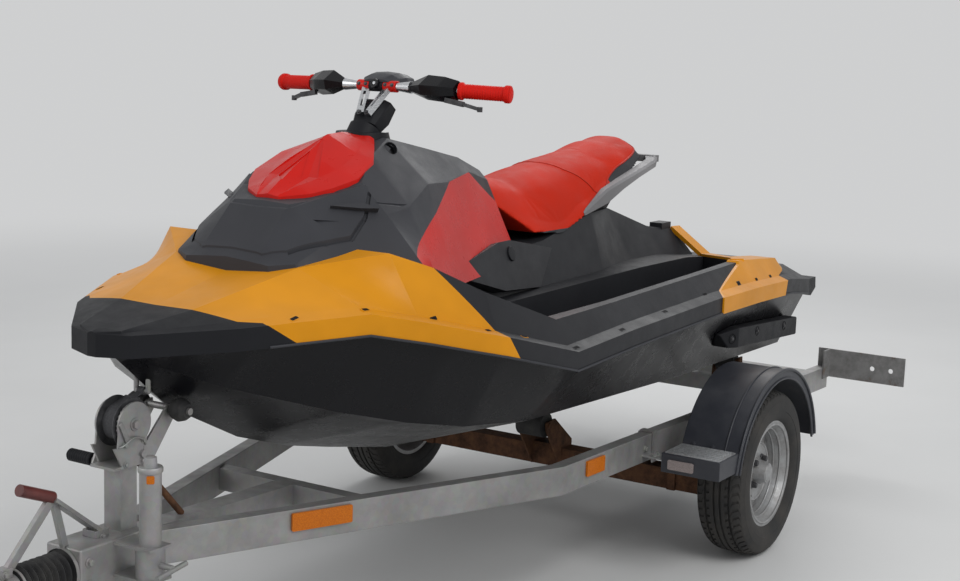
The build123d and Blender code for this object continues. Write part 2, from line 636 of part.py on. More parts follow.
GRIP_Y, GRIP_R, FLARE_R = 240.0, 19.0, 23.0
grip = rod(t(along_bar(GRIP_Y)), t(along_bar(GRIP_END)), GRIP_R)
grip += rod(t(along_bar(GRIP_END - 12)), t(along_bar(GRIP_END)), FLARE_R)
grip += rod(t(along_bar(GRIP_Y - 6)), t(along_bar(GRIP_Y + 4)), FLARE_R)
grips = both(grip) - handlebar

# Hand guards: faceted shells round the bar, pointed inboard
# Columns: y, reach ahead, reach behind, above, below, all from the bar
GUARD = [
    (106, 20, 14, 14, 12),
    (152, 50, 18, 36, 28),
    (196, 46, 20, 34, 31),
    (231, 28, 22, 26, 24),
]


def guard_ring(y, ahead, behind, above, below):
    at = along_bar(y)
    corners = [(-behind, -below * 0.5), (-behind, above * 0.6), (ahead * 0.1, above), (ahead, above * 0.3),
               (ahead * 0.85, -below * 0.5), (ahead * 0.1, -below)]
    return Wire.make_polygon([Vector(at.X + x, y, at.Z + z) for x, z in corners], close=True)


guard = Part() + Solid.make_loft([guard_ring(*row) for row in GUARD], ruled=True)
guards = both(guard) - handlebar - grips

# Gauge pod: an arched visor over the bar's middle
# Columns: x from the bar, half width, height above the pod's foot
POD_FOOT = 11.0
POD = [(12, 38, 7), (-14, 60, 21), (-42, 67, 26), (-84, 58, 20)]
gauge = skin([(BAR_CENTRE.X + dx, [(0, BAR_CENTRE.Z + POD_FOOT), (half, BAR_CENTRE.Z + POD_FOOT),
                                   (half * 0.92, BAR_CENTRE.Z + POD_FOOT + rise * 0.45),
                                   (half * 0.55, BAR_CENTRE.Z + POD_FOOT + rise * 0.9),
                                   (0, BAR_CENTRE.Z + POD_FOOT + rise)]) for dx, half, rise in POD])
gauge += block(BAR_CENTRE.X - 30, BAR_CENTRE.X + 6, -14, 14, BAR_CENTRE.Z, BAR_CENTRE.Z + POD_FOOT + 1)
gauge = gauge - handlebar - clamps - risers
LEVER_ROOT_Y, LEVER_BEND_Y, LEVER_TIP_Y = 208.0, 262.0, 300.0
LEVER_AHEAD, LEVER_DROP = 22.0, 32.0
lever_root = along_bar(LEVER_ROOT_Y) + Vector(LEVER_AHEAD, 0, -LEVER_DROP + 8)
lever_bend = along_bar(LEVER_BEND_Y) + Vector(LEVER_AHEAD + 8, 0, -LEVER_DROP)
lever_tip = along_bar(LEVER_TIP_Y) + Vector(LEVER_AHEAD, 0, -LEVER_DROP - 10)
levers = bar(t(lever_root), t(lever_bend), 10, 13)
levers += bar(t(lever_bend - (lever_tip - lever_bend) * 0.1), t(lever_tip), 9, 9)
levers += rod(t(lever_tip - Vector(0, 0, 6.5)), t(lever_tip + Vector(0, 0, 6.5)), 7)
levers = both(levers) - guards - grips
write("steering_stem", stem)
write("riser_arms", risers)
write("bar_clamps", clamps)
write("handlebar", handlebar)
write("grips", grips)
write("hand_guards", guards)
write("gauge_cowl", gauge)
write("levers", levers)

# Trailer
RAIL_TOP0 = 395.0           # rail top over the axle
RAIL_RISE = 0.026           # rise of the frame per millimetre forward
RAIL_H, RAIL_W, RAIL_OUT = 80.0, 40.0, 470.0
BEND_X, APEX_X, APEX_OUT = 150.0, 1345.0, 50.0
TAIL_X = -HALF_LENGTH + 6


def frame_top(x):
    """Height of the frame's top face at x."""
    return RAIL_TOP0 + RAIL_RISE * (x - AXLE_X)


def rail_ring(x, y_out, y_in):
    top = frame_top(x)
    return Wire.make_polygon([Vector(x, y_in, top - RAIL_H), Vector(x, y_out, top - RAIL_H), Vector(x, y_out, top),
                              Vector(x, y_in, top)], close=True)


bend = atan2(RAIL_OUT - APEX_OUT, APEX_X - BEND_X)
rail = Part() + Solid.make_loft([
    rail_ring(TAIL_X, RAIL_OUT, RAIL_OUT - RAIL_W),
    rail_ring(BEND_X, RAIL_OUT, RAIL_OUT - RAIL_W),
    rail_ring(APEX_X, APEX_OUT, APEX_OUT - RAIL_W / cos(bend)),
], ruled=True)
WHEEL_R, TYRE_W = 256.5, 156.0
WHEEL_Y, HUB_Z = TRACK / 2, WHEEL_R
GUARD_IN = 562.0
for x in (-345, -1045):
    top = frame_top(x)
    rail += block(x - 20, x + 20, RAIL_OUT, GUARD_IN, top - 60, top - 54)
SPINE_X0 = 760.0
BOX_X0, BOX_X1, BOX_HALF, BOX_H = 1300.0, 1500.0, 52.0, 112.0
box_top = frame_top(1420) + 4
coupling_box = block(BOX_X0, BOX_X1, -BOX_HALF, BOX_HALF, box_top - BOX_H, box_top)
rail = rail - coupling_box
write("chassis_rails", both(rail))
spine = Part() + Solid.make_loft([
    Wire.make_polygon([Vector(x, -30, frame_top(x) - 66), Vector(x, 30, frame_top(x) - 66),
                       Vector(x, 30, frame_top(x) - 6), Vector(x, -30, frame_top(x) - 6)], close=True)
    for x in (SPINE_X0, BOX_X0)], ruled=True)
spine = spine - both(rail)


def rail_inner(x):
    """Inner face of the port rail at x, where the frame tapers."""
    if x < BEND_X:
        return RAIL_OUT - RAIL_W
    inner_apex = APEX_OUT - RAIL_W / cos(bend)
    return RAIL_OUT - RAIL_W + (inner_apex - RAIL_OUT + RAIL_W) * (x - BEND_X) / (APEX_X - BEND_X)


TAIL_CROSS = 104.0          # from the rail tails to the rearmost cross member
CROSS = [(720, 760), (-1470, -1430), (TAIL_X + TAIL_CROSS, TAIL_X + TAIL_CROSS + 50)]
cross = Part()
for x0, x1 in CROSS:
    top = frame_top((x0 + x1) / 2)
    cross += block(x0, x1, -rail_inner(x0), rail_inner(x0), top - 64, top - 6)
cross = (cross - both(rail)) + spine
write("cross_members", cross)

# Axle beam, trailing arms and stubs
BEAM_X0, BEAM_X1, BEAM_Z0, BEAM_Z1 = -655.0, -590.0, 180.0, 245.0
STUB_R, STUB_END = 17.0, 690.0
axle = block(BEAM_X0, BEAM_X1, -520, 520, BEAM_Z0, BEAM_Z1)
for y in (-1, 1):
    for x in (BEAM_X0 - 10, BEAM_X1):
        y0, y1 = sorted((y * 436, y * 464))
        axle += block(x, x + 10, y0, y1, BEAM_Z0, frame_top(x) - RAIL_H)
    y0, y1 = sorted((y * 520, y * 545))
    axle += side_prism([(BEAM_X1, BEAM_Z0), (BEAM_X1, BEAM_Z1), (AXLE_X - 20, HUB_Z + 32), (AXLE_X - 32, HUB_Z),
                        (AXLE_X - 20, HUB_Z - 30)], y0, y1)
    axle += rod((AXLE_X, y * 530, HUB_Z), (AXLE_X, y * STUB_END, HUB_Z), STUB_R)
axle = axle - both(rail)
write("axle_beam", axle)


def turned_y(profile, centre):
    """Solid of revolution about a Y-parallel axis through (x, z), from a (y, radius) outline."""
    x, z = centre
    face = make_face(Polyline(*[(x, y, z + r) for y, r in profile], close=True))
    return Part() + revolve(face, axis=Axis((x, 0, z), (0, 1, 0)))


# Wheels: steel disc and rim, hub shell on the stub
RIM_R, RIM_HALF = 152.0, 62.0
DISC_Y = 18.0
wheel_profile = [(-RIM_HALF, RIM_R + 12), (-RIM_HALF, RIM_R), (-40, RIM_R - 14), (10, RIM_R - 22), (40, RIM_R - 14),
                 (RIM_HALF, RIM_R), (RIM_HALF, RIM_R + 12), (RIM_HALF - 6, RIM_R + 12), (38, RIM_R - 8),
                 (10, RIM_R - 16), (-40, RIM_R - 8), (-RIM_HALF + 6, RIM_R + 12)]
disc_profile = [(DISC_Y, 34), (DISC_Y, 92), (DISC_Y - 14, 118), (0, RIM_R - 19), (-8, RIM_R - 19),
                (DISC_Y - 24, 116), (DISC_Y - 8, 92), (DISC_Y - 8, 34)]
hub_profile = [(-95, STUB_R + RUN), (-95, 48), (-20, 48), (DISC_Y + 24, 34), (DISC_Y + 40, 30), (DISC_Y + 42, 0),
               (DISC_Y + 36, 0), (DISC_Y + 36, STUB_R + RUN)]
DISC_HOLES = 12
disc = turned_y([(WHEEL_Y + y, r) for y, r in disc_profile], (AXLE_X, HUB_Z))
hole = rod((AXLE_X, WHEEL_Y - 30, HUB_Z + 106), (AXLE_X, WHEEL_Y + 40, HUB_Z + 106), 9)
disc -= joined([hole.rotate(Axis((AXLE_X, 0, HUB_Z), (0, 1, 0)), (i + 0.5) * 360 / DISC_HOLES)
                for i in range(DISC_HOLES)])
wheel = (turned_y([(WHEEL_Y + y, r) for y, r in wheel_profile], (AXLE_X, HUB_Z)) + disc
         + turned_y([(WHEEL_Y + y, r) for y, r in hub_profile], (AXLE_X, HUB_Z)))
FACETS = 72                 # sides of the faceted tyres


def faceted_ring(outer, bore, centre, facets):
    """Closed many-sided ring about a Y-parallel axis, from (y, radius) outlines of its outside and its bore."""
    x, z = centre

    def body(rows, grow):
        wires = []
        for y, r in rows:
            angles = [2 * pi * i / facets for i in range(facets)]
            wires.append(Wire.make_polygon([Vector(x + grow * r * cos(a), y, z + grow * r * sin(a)) for a in angles],
                                           close=True))
        return Part() + Solid.make_loft(wires, ruled=True)

    return body(outer, 1.0) - body(bore, 1.0 / cos(pi / facets))


tyre_outer = [(-RIM_HALF, RIM_R + 12), (-TYRE_W / 2, 205), (-TYRE_W / 2 + 5, 234), (-TYRE_W / 2 + 22, 251),
              (0, WHEEL_R), (TYRE_W / 2 - 22, 251), (TYRE_W / 2 - 5, 234), (TYRE_W / 2, 205), (RIM_HALF, RIM_R + 12)]
tyre_bore = [(-RIM_HALF - 1, RIM_R + 12), (-RIM_HALF + 6, RIM_R + 12), (-40, RIM_R - 8), (10, RIM_R - 16),
             (38, RIM_R - 8), (RIM_HALF - 6, RIM_R + 12), (RIM_HALF + 1, RIM_R + 12)]
tyre = faceted_ring([(WHEEL_Y + y, r) for y, r in tyre_outer], [(WHEEL_Y + y, r) for y, r in tyre_bore],
                    (AXLE_X, HUB_Z), FACETS)
write("wheel_port", wheel)
write("wheel_starboard", mirror(wheel, Plane.XZ))
write("tyre_port", tyre)
write("tyre_starboard", mirror(tyre, Plane.XZ))

# Mudguards with their front steps
GUARD_R, GUARD_T, GUARD_OUT = 325.0, 5.0, 745.0


def drum(radius, y0, y1):
    return rod((AXLE_X, y0, HUB_Z), (AXLE_X, y1, HUB_Z), radius)


arch = drum(GUARD_R, GUARD_IN, GUARD_OUT) - drum(GUARD_R - GUARD_T, GUARD_IN - 1, GUARD_OUT + 1)
lip = drum(GUARD_R, GUARD_OUT - 4, GUARD_OUT) - drum(GUARD_R - 26, GUARD_OUT - 5, GUARD_OUT + 1)
inner_wall = drum(GUARD_R, GUARD_IN, GUARD_IN + 4) - drum(GUARD_R - 26, GUARD_IN - 1, GUARD_IN + 5)
arch = arch + lip + inner_wall
keep = side_prism([(AXLE_X - 400, HUB_Z + 62), (AXLE_X - 400, HUB_Z + 400), (AXLE_X + 400, HUB_Z + 400),
                   (AXLE_X + 400, HUB_Z + 66)], GUARD_IN - 2, GUARD_OUT + 2)
arch = arch & keep
STEP_X1, STEP_Z0, STEP_Z1 = -262.0, 330.0, 386.0
step = block(AXLE_X + 290, STEP_X1, GUARD_IN, GUARD_OUT, STEP_Z0, STEP_Z1)
step -= block(AXLE_X + 270, STEP_X1 - 6, GUARD_IN + 5, GUARD_OUT - 5, STEP_Z0 - 1, STEP_Z1 - 6)
step -= drum(GUARD_R - 1, GUARD_IN - 1, GUARD_OUT + 1)
mudguard = arch + step
mudguards = both(mudguard) - both(rail)
write("mudguards", mudguards)

# Tail lamp brackets
tail_top = frame_top(TAIL_X)
LAMP_LOW, LAMP_HIGH, LAMP_OUT = tail_top - 38, tail_top + 68, 762.0
LAMP_BOLTS_Y, LAMP_BOLT_Z, LAMP_BOLT_R = (640, 710), tail_top + 14, 9.0
lamp = block(-HALF_LENGTH, TAIL_X, RAIL_OUT - RAIL_W, LAMP_OUT, LAMP_LOW, LAMP_HIGH)
lamp += block(TAIL_X, TAIL_X + 60, RAIL_OUT, RAIL_OUT + 6, LAMP_LOW, LAMP_HIGH)
for y in LAMP_BOLTS_Y:
    lamp -= rod((-HALF_LENGTH - 5, y, LAMP_BOLT_Z), (TAIL_X + 5, y, LAMP_BOLT_Z), LAMP_BOLT_R)
lamp = lamp - rail
write("lamp_brackets", both(lamp))

# Hull supports on the frame: keel rollers and rear side rollers


def keel_z(x):
    """Keel height at x, from the hull's stations."""
    rows = sorted(HULL)
    for (x0, z0, *_), (x1, z1, *_) in zip(rows, rows[1:]):
        if x0 <= x <= x1:
            return z0 + (z1 - z0) * (x - x0) / (x1 - x0)
    return rows[-1][1]


ROLLER_R = 40.0
KEEL_ROLLER_X = -500.0
rollers = Part()
carriers = Part()
rx = KEEL_ROLLER_X
rz = keel_z(rx) - ROLLER_R - 1.0
rollers += rod((rx, -45, rz), (rx, 45, rz), ROLLER_R) - rod((rx, -50, rz), (rx, 50, rz), 9)
carriers += rod((rx, -62, rz), (rx, 62, rz), 9)
for side in (-1, 1):
    y0, y1 = sorted((side * 50, side * 56))
    carriers += side_prism([(rx + 14, rz + 12), (rx + 14, rz - 14), (BEAM_X1 + 2, BEAM_Z0), (BEAM_X1 + 2, BEAM_Z1 + 8),
                            (BEAM_X0, BEAM_Z1 + 8), (BEAM_X0, BEAM_Z1 + 20), (rx - 40, rz + 16)], y0, y1)
carriers += block(BEAM_X0, BEAM_X1, -56, 56, BEAM_Z1, BEAM_Z1 + 8)
carriers -= axle
SIDE_ROLLER_X, SIDE_ROLLER_R = -1450.0, 26.0
SIDE_Y0, SIDE_Y1 = 215.0, 285.0


def hull_under(x, y):
    """Height of the hull's bottom between keel and chine."""
    rows = sorted(HULL)
    for low, high in zip(rows, rows[1:]):
        if low[0] <= x <= high[0]:
            share = (x - low[0]) / (high[0] - low[0])
            kz, cy, cz = [p + (q - p) * share for p, q in zip(low[1:4], high[1:4])]
            return kz + (cz - kz) * y / cy
    return rows[-1][1]


deadrise = atan2(hull_under(SIDE_ROLLER_X, SIDE_Y1) - hull_under(SIDE_ROLLER_X, SIDE_Y0), SIDE_Y1 - SIDE_Y0)
drop = (SIDE_ROLLER_R + 1.0) / cos(deadrise)
side_ends = [(SIDE_ROLLER_X, y, hull_under(SIDE_ROLLER_X, y) - drop) for y in (SIDE_Y0, SIDE_Y1)]
pin_ends = [(SIDE_ROLLER_X, y, side_ends[0][2] + (y - SIDE_Y0) * sin(deadrise) / cos(deadrise))
            for y in (SIDE_Y0 - 14, SIDE_Y1 + 14)]
rollers += both(tube(*side_ends, SIDE_ROLLER_R, 8))
stern_carrier = rod(*pin_ends, 8)
for x, y, z in pin_ends:
    stern_carrier += side_prism([(x - 18, frame_top(x) - 6), (x + 18, frame_top(x) - 6), (x + 12, z + 10),
                                 (x - 12, z + 10)], y - 3, y + 3)
carriers += both(stern_carrier) - cross
write("roller_bracket", carriers)

# Winch post, winch and bow stop
POST_X = 1330.0
POST_TOP = 598.0
post = block(POST_X - 25, POST_X + 25, -25, 25, box_top, POST_TOP)
WINCH_X, WINCH_Z = 1322.0, 692.0
CHEEK_Y, CHEEK_T, CHEEK_R = 31.0, 5.0, 50.0
TRAY_X0, TRAY_X1, TRAY_Z1 = 1283.0, 1385.0, 648.0
WINCH_SHAFT = 8.0
CRANK_X, CRANK_Z = 1300.0, 622.0
post += block(TRAY_X0, TRAY_X1, -CHEEK_Y - CHEEK_T, CHEEK_Y + CHEEK_T, POST_TOP, POST_TOP + 6)
for y0 in (-CHEEK_Y - CHEEK_T, CHEEK_Y):
    y1 = y0 + CHEEK_T
    tray = side_prism([(TRAY_X0, POST_TOP), (TRAY_X1 - 26, POST_TOP), (TRAY_X1, TRAY_Z1), (TRAY_X0, TRAY_Z1 - 10)], y0, y1)
    taper = side_prism([(TRAY_X0 + 6, TRAY_Z1 - 12), (TRAY_X1 - 12, TRAY_Z1 - 4), (WINCH_X + 46, WINCH_Z),
                        (WINCH_X - 46, WINCH_Z)], y0, y1)
    post += tray + taper + rod((WINCH_X, y0, WINCH_Z), (WINCH_X, y1, WINCH_Z), CHEEK_R)

# Bow rollers on flat arms, their axle below the stem
ROLL_X, ROLL_R = 1208.0, 27.0
ROLL_AXLE_Z, ROLL_IN, ROLL_OUT = 708.0, 40.0, 88.0
ARM_Y, ARM_T = 37.0, 6.0
arms = Part()
for side in (-1, 1):
    y0, y1 = sorted((side * (ARM_Y - ARM_T), side * ARM_Y))
    arms += side_prism([(TRAY_X0 - 14, POST_TOP), (TRAY_X0 + 16, POST_TOP), (TRAY_X0 + 12, POST_TOP + 40),
                        (ROLL_X + 17, ROLL_AXLE_Z + 4), (ROLL_X - 12, ROLL_AXLE_Z + 12), (ROLL_X - 16, ROLL_AXLE_Z - 12)],
                       y0, y1)
arms += block(TRAY_X0 - 14, TRAY_X0 + 12, -ARM_Y, ARM_Y, POST_TOP, POST_TOP + 6)
shaft_bores = (rod((WINCH_X, -60, WINCH_Z), (WINCH_X, 60, WINCH_Z), WINCH_SHAFT + RUN)
               + rod((CRANK_X, -60, CRANK_Z), (CRANK_X, 60, CRANK_Z), WINCH_SHAFT + RUN))
bow_axle = rod((ROLL_X, -ROLL_OUT - 6, ROLL_AXLE_Z), (ROLL_X, ROLL_OUT + 6, ROLL_AXLE_Z), 8)
write("winch_post", (post + (arms - hull) + (bow_axle - hull)) - shaft_bores)
barrel = turned_y([(ROLL_IN, 0), (ROLL_IN, 16), (ROLL_IN + 10, ROLL_R - 4), ((ROLL_IN + ROLL_OUT) / 2, ROLL_R),
                   (ROLL_OUT - 10, ROLL_R - 4), (ROLL_OUT, 16), (ROLL_OUT, 0)], (ROLL_X, ROLL_AXLE_Z))
rollers += both(barrel - bow_axle - hull)
write("rollers", rollers)
brace = rod((TRAY_X0 - 4, 0, POST_TOP - 2), (1135, 0, frame_top(1135) - 4), 8) - spine - post - arms
write("winch_brace", brace)

DRUM_R, FLANGE_R, DRUM_HALF = 38.0, 57.0, 25.0
winch_drum = rod((WINCH_X, -CHEEK_Y - 8, WINCH_Z), (WINCH_X, CHEEK_Y + 8, WINCH_Z), WINCH_SHAFT)
winch_drum += rod((WINCH_X, -DRUM_HALF + 1, WINCH_Z), (WINCH_X, DRUM_HALF - 1, WINCH_Z), DRUM_R)
for y in (-DRUM_HALF, DRUM_HALF - 2):
    winch_drum += rod((WINCH_X, y, WINCH_Z), (WINCH_X, y + 2, WINCH_Z), FLANGE_R)
write("winch_drum", winch_drum)
GRIP_X, GRIP_Z, GRIP_Y0, GRIP_Y1 = 1316.0, 588.0, -98.0, -170.0
crank = rod((CRANK_X, GRIP_Y0 + 6, CRANK_Z), (CRANK_X, CHEEK_Y + 12, CRANK_Z), WINCH_SHAFT)
crank += bar((CRANK_X - 4, GRIP_Y0 + 9, CRANK_Z + 8), (GRIP_X + 4, GRIP_Y0 + 9, GRIP_Z - 8), 6, 20)
crank += rod((GRIP_X, GRIP_Y0 + 8, GRIP_Z), (GRIP_X, GRIP_Y0, GRIP_Z), 7)
write("winch_crank", crank)
write("crank_grip", rod((GRIP_X, GRIP_Y0, GRIP_Z), (GRIP_X, GRIP_Y1, GRIP_Z), 14))
STRAP_T, STRAP_W, LOOP_W = 3.0, 44.0, 18.0
wrap_r = DRUM_R + SEAM + STRAP_T / 2
eye_dist = hypot(EYE_X - WINCH_X, EYE_Z - WINCH_Z)
tangent = atan2(EYE_Z - WINCH_Z, EYE_X - WINCH_X) - acos(wrap_r / eye_dist)
leave = Vector(WINCH_X + wrap_r * cos(tangent), 0, WINCH_Z + wrap_r * sin(tangent))
to_eye = (Vector(EYE_X, 0, EYE_Z) - leave).normalized()
narrow = Vector(EYE_X, 0, EYE_Z) - to_eye * 30
strap = bar(t(leave), t(narrow), STRAP_W, STRAP_T)
strap += bar(t(narrow - to_eye), t(Vector(EYE_X, 0, EYE_Z) - to_eye * 7), LOOP_W, STRAP_T)
strap += tube((EYE_X, -LOOP_W / 2, EYE_Z), (EYE_X, LOOP_W / 2, EYE_Z), EYE_R + SEAM + STRAP_T, EYE_R + SEAM)
strap -= rod((EYE_X, -LOOP_W, EYE_Z), (EYE_X, LOOP_W, EYE_Z), EYE_R + SEAM)
write("winch_strap", strap - hull)

# Coupling: overrun box, bellows, head, handbrake lever
COUPLE_Z = 400.0
write("coupling_box", coupling_box)
BELLOWS_X1 = 1640.0


def turned_couple(profile):
    face = make_face(Polyline(*[(x, 0, COUPLE_Z + r) for x, r in profile], close=True))
    return Part() + revolve(face, axis=Axis((0, 0, COUPLE_Z), (1, 0, 0)))


FOLDS = 6
folds = []
for i in range(FOLDS):
    x = BOX_X1 + (BELLOWS_X1 - BOX_X1) * i / FOLDS
    step_x = (BELLOWS_X1 - BOX_X1) / FOLDS
    folds += [(x, 36), (x + step_x / 2, 46)]
bellows = turned_couple([(BOX_X1, 0)] + folds + [(BELLOWS_X1, 36), (BELLOWS_X1, 0)])
write("bellows", bellows)
BALL_X, BALL_R = 1860.0, 25.4
head = turned_couple([(BELLOWS_X1, 0), (BELLOWS_X1, 32), (1700, 30), (1790, 26), (1790, 0)])
head += block(1770, BALL_X, -24, 24, COUPLE_Z - 24, COUPLE_Z + 26)
head += rod((BALL_X, 0, COUPLE_Z - 34), (BALL_X, 0, COUPLE_Z + 30), 40)
head -= rod((BALL_X, 0, COUPLE_Z - 60), (BALL_X, 0, COUPLE_Z + 4), BALL_R)
head += bar((1740, 0, COUPLE_Z + 30), (1850, 0, COUPLE_Z + 52), 26, 12) + block(1740, 1760, -13, 13, COUPLE_Z, COUPLE_Z + 36)
write("coupling_head", head)
lever = bar((1405, 0, box_top + 14), (1532, 0, 566), 36, 9)
lever += block(1385, 1425, -20, 20, box_top, box_top + 16)
lever += bar((1532, 0, 566), (1660, 0, COUPLE_Z + 34), 12, 20) + bar((1526, 0, 562), (1496, 0, box_top - 4), 12, 16)
lever += block(1648, 1676, -12, 12, COUPLE_Z + 26, COUPLE_Z + 50)
lever = lever - head - coupling_box - bellows
write("handbrake_lever", lever)
hand_grip = rod((1528, 0, 568), (1618, 0, 604), 13) - lever
write("handbrake_grip", hand_grip)

# Jockey wheel on the port side of the box
JOCK_X, JOCK_Y, JOCK_R = 1372.0, 130.0, 24.0
JOCK_BORE = 21.0
JOCK_TOP, JOCK_LOW = 622.0, 350.0
LEG_TOP = 466.0
JOCK_WHEEL_R = 80.0
JOCK_TRAIL = 45.0
FORK_PIN_TOP = 204.0
outer = tube((JOCK_X, JOCK_Y, JOCK_LOW), (JOCK_X, JOCK_Y, JOCK_TOP - 10), JOCK_R, JOCK_BORE)
outer += rod((JOCK_X, JOCK_Y, JOCK_TOP - 12), (JOCK_X, JOCK_Y, JOCK_TOP), JOCK_R)
outer += rod((JOCK_X, JOCK_Y, JOCK_TOP), (JOCK_X, JOCK_Y, JOCK_TOP + 26), 9)
clamp = block(JOCK_X - 34, JOCK_X + 34, BOX_HALF, JOCK_Y + 30, 372, 378) + block(JOCK_X - 34, JOCK_X + 34, BOX_HALF,
                                                                               JOCK_Y + 30, 444, 450)
clamp += tube((JOCK_X, JOCK_Y, 372), (JOCK_X, JOCK_Y, 450), JOCK_R + 8, JOCK_R)
clamp -= rod((JOCK_X, JOCK_Y, 300), (JOCK_X, JOCK_Y, 500), JOCK_R)
clamp += rod((JOCK_X, JOCK_Y + JOCK_R + 4, 410), (JOCK_X, JOCK_Y + JOCK_R + 40, 410), 7)
clamp += rod((JOCK_X - 45, JOCK_Y + JOCK_R + 38, 410), (JOCK_X + 45, JOCK_Y + JOCK_R + 38, 398), 6)
clamp = clamp - both(rail) - coupling_box
write("jockey_tube", outer + clamp)
leg = rod((JOCK_X, JOCK_Y, 190), (JOCK_X, JOCK_Y, LEG_TOP), JOCK_BORE - RUN)
leg -= rod((JOCK_X, JOCK_Y, 180), (JOCK_X, JOCK_Y, FORK_PIN_TOP + 4), 10 + RUN)
write("jockey_leg", leg)
fork = rod((JOCK_X, JOCK_Y, 172), (JOCK_X, JOCK_Y, FORK_PIN_TOP), 10)
fork += block(JOCK_X - JOCK_TRAIL - 16, JOCK_X + 20, JOCK_Y - 37, JOCK_Y + 37, 172, 180)
for side in (-1, 1):
    y0, y1 = sorted((JOCK_Y + side * 31, JOCK_Y + side * 37))
    fork += side_prism([(JOCK_X + 18, 172), (JOCK_X - JOCK_TRAIL - 16, 172), (JOCK_X - JOCK_TRAIL - 16, JOCK_WHEEL_R),
                        (JOCK_X - JOCK_TRAIL, JOCK_WHEEL_R - 16), (JOCK_X - JOCK_TRAIL + 16, JOCK_WHEEL_R)], y0, y1)
JAX = (JOCK_X - JOCK_TRAIL, JOCK_WHEEL_R)
fork += rod((JAX[0], JOCK_Y - 40, JAX[1]), (JAX[0], JOCK_Y + 40, JAX[1]), 8)
write("jockey_fork", fork)
jockey_outer = [(-24, 70), (-16, JOCK_WHEEL_R), (16, JOCK_WHEEL_R), (24, 70)]
jockey_bore = [(-25, 8 + RUN), (25, 8 + RUN)]
jockey_wheel = faceted_ring([(JOCK_Y + y, r) for y, r in jockey_outer], [(JOCK_Y + y, r) for y, r in jockey_bore],
                            JAX, 36)
write("jockey_wheel", jockey_wheel)
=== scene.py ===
import math

import bmesh
import bpy
from bpy.props import FloatProperty, FloatVectorProperty, IntProperty, PointerProperty
from mathutils import Matrix, Vector
from mathutils.bvhtree import BVHTree


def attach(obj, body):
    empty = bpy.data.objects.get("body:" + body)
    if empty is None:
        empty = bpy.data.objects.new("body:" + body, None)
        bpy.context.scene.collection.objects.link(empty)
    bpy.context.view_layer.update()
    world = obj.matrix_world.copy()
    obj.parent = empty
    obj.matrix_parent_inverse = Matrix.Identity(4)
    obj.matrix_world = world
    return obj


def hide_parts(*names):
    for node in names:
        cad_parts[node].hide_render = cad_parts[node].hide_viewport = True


bl_info = {
    "name": "Watercraft on Trailer",
    "version": (1, 0, 0),
    "blender": (4, 5, 0),
    "location": "View3D > Sidebar > Watercraft",
    "description": "Dresses a personal watercraft and its road trailer with finished pieces and materials",
    "category": "Object",
}

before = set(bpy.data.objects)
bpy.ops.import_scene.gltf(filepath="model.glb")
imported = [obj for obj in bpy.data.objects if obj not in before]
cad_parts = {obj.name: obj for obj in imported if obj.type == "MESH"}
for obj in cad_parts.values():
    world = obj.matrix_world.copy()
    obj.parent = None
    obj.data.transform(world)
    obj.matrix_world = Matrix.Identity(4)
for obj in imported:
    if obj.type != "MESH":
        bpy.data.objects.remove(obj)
ROOT = "craft_and_trailer"
SIDES = ((1, "port"), (-1, "starboard"))


# Mesh helpers


def new_bmesh_from(node):
    """A merged copy of a carried-over node's mesh, with its flat faces joined up again."""
    bm = bmesh.new()
    bm.from_mesh(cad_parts[node].data)
    bmesh.ops.remove_doubles(bm, verts=bm.verts, dist=1e-5)
    bmesh.ops.dissolve_limit(bm, angle_limit=math.radians(1.0), verts=bm.verts, edges=bm.edges)
    return bm


def round_edges(bm, width, segments, angle):
    """Bevels the edges whose faces meet at more than this many degrees."""
    limit = math.radians(angle)
    creases = [e for e in bm.edges if len(e.link_faces) == 2 and e.calc_face_angle(0.0) > limit]
    bevelled(bm, creases, width, segments)


def bevelled(bm, edges, width, segments):
    bmesh.ops.bevel(bm, geom=edges, offset=width, offset_type="OFFSET", affect="EDGES", segments=segments,
                    profile=0.5, material=-1, clamp_overlap=True)


def finished(name, bm, look, body=ROOT, smooth=35.0, replaces=(), outward=True):
    """Turns a bmesh into a piece of the object, shaded smooth up to an angle and riding on a body."""
    if outward:
        bmesh.ops.recalc_face_normals(bm, faces=bm.faces)
    mesh = bpy.data.meshes.new(name)
    bm.to_mesh(mesh)
    bm.free()
    mesh.shade_smooth()
    mesh.set_sharp_from_angle(angle=math.radians(smooth))
    obj = bpy.data.objects.new(name, mesh)
    bpy.context.scene.collection.objects.link(obj)
    obj.data.materials.append(finish(look))
    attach(obj, body)
    if replaces:
        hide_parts(*replaces)
    return obj


def softened(node, width, body=ROOT, segments=2, angle=20.0, look=None):
    """A carried-over solid with rounded edges and flat-shaded facets, in place of the plain one."""
    bm = new_bmesh_from(node)
    round_edges(bm, width, segments, angle)
    obj = finished(node + "_finished", bm, look or NODE_FINISH[node], body, replaces=(node,), outward=False)
    flat = obj.modifiers.new("flat_facets", "WEIGHTED_NORMAL")
    flat.weight = 100
    flat.keep_sharp = True
    return obj


def spun(name, profile, centre, axis, look, body=ROOT, steps=72, smooth=35.0, replaces=()):
    """A turned piece: a closed (along, radius) outline swept round an axis through a centre."""
    along = Vector(axis).normalized()
    side = along.orthogonal().normalized()
    bm = bmesh.new()
    verts = [bm.verts.new(Vector(centre) + along * a + side * r) for a, r in profile]
    edges = [bm.edges.new((verts[i], verts[(i + 1) % len(verts)])) for i in range(len(verts))]
    bmesh.ops.spin(bm, geom=verts + edges, cent=centre, axis=along, angle=math.tau, steps=steps, use_merge=True)
    bmesh.ops.remove_doubles(bm, verts=bm.verts, dist=1e-6)
    return finished(name, bm, look, body, smooth, replaces)


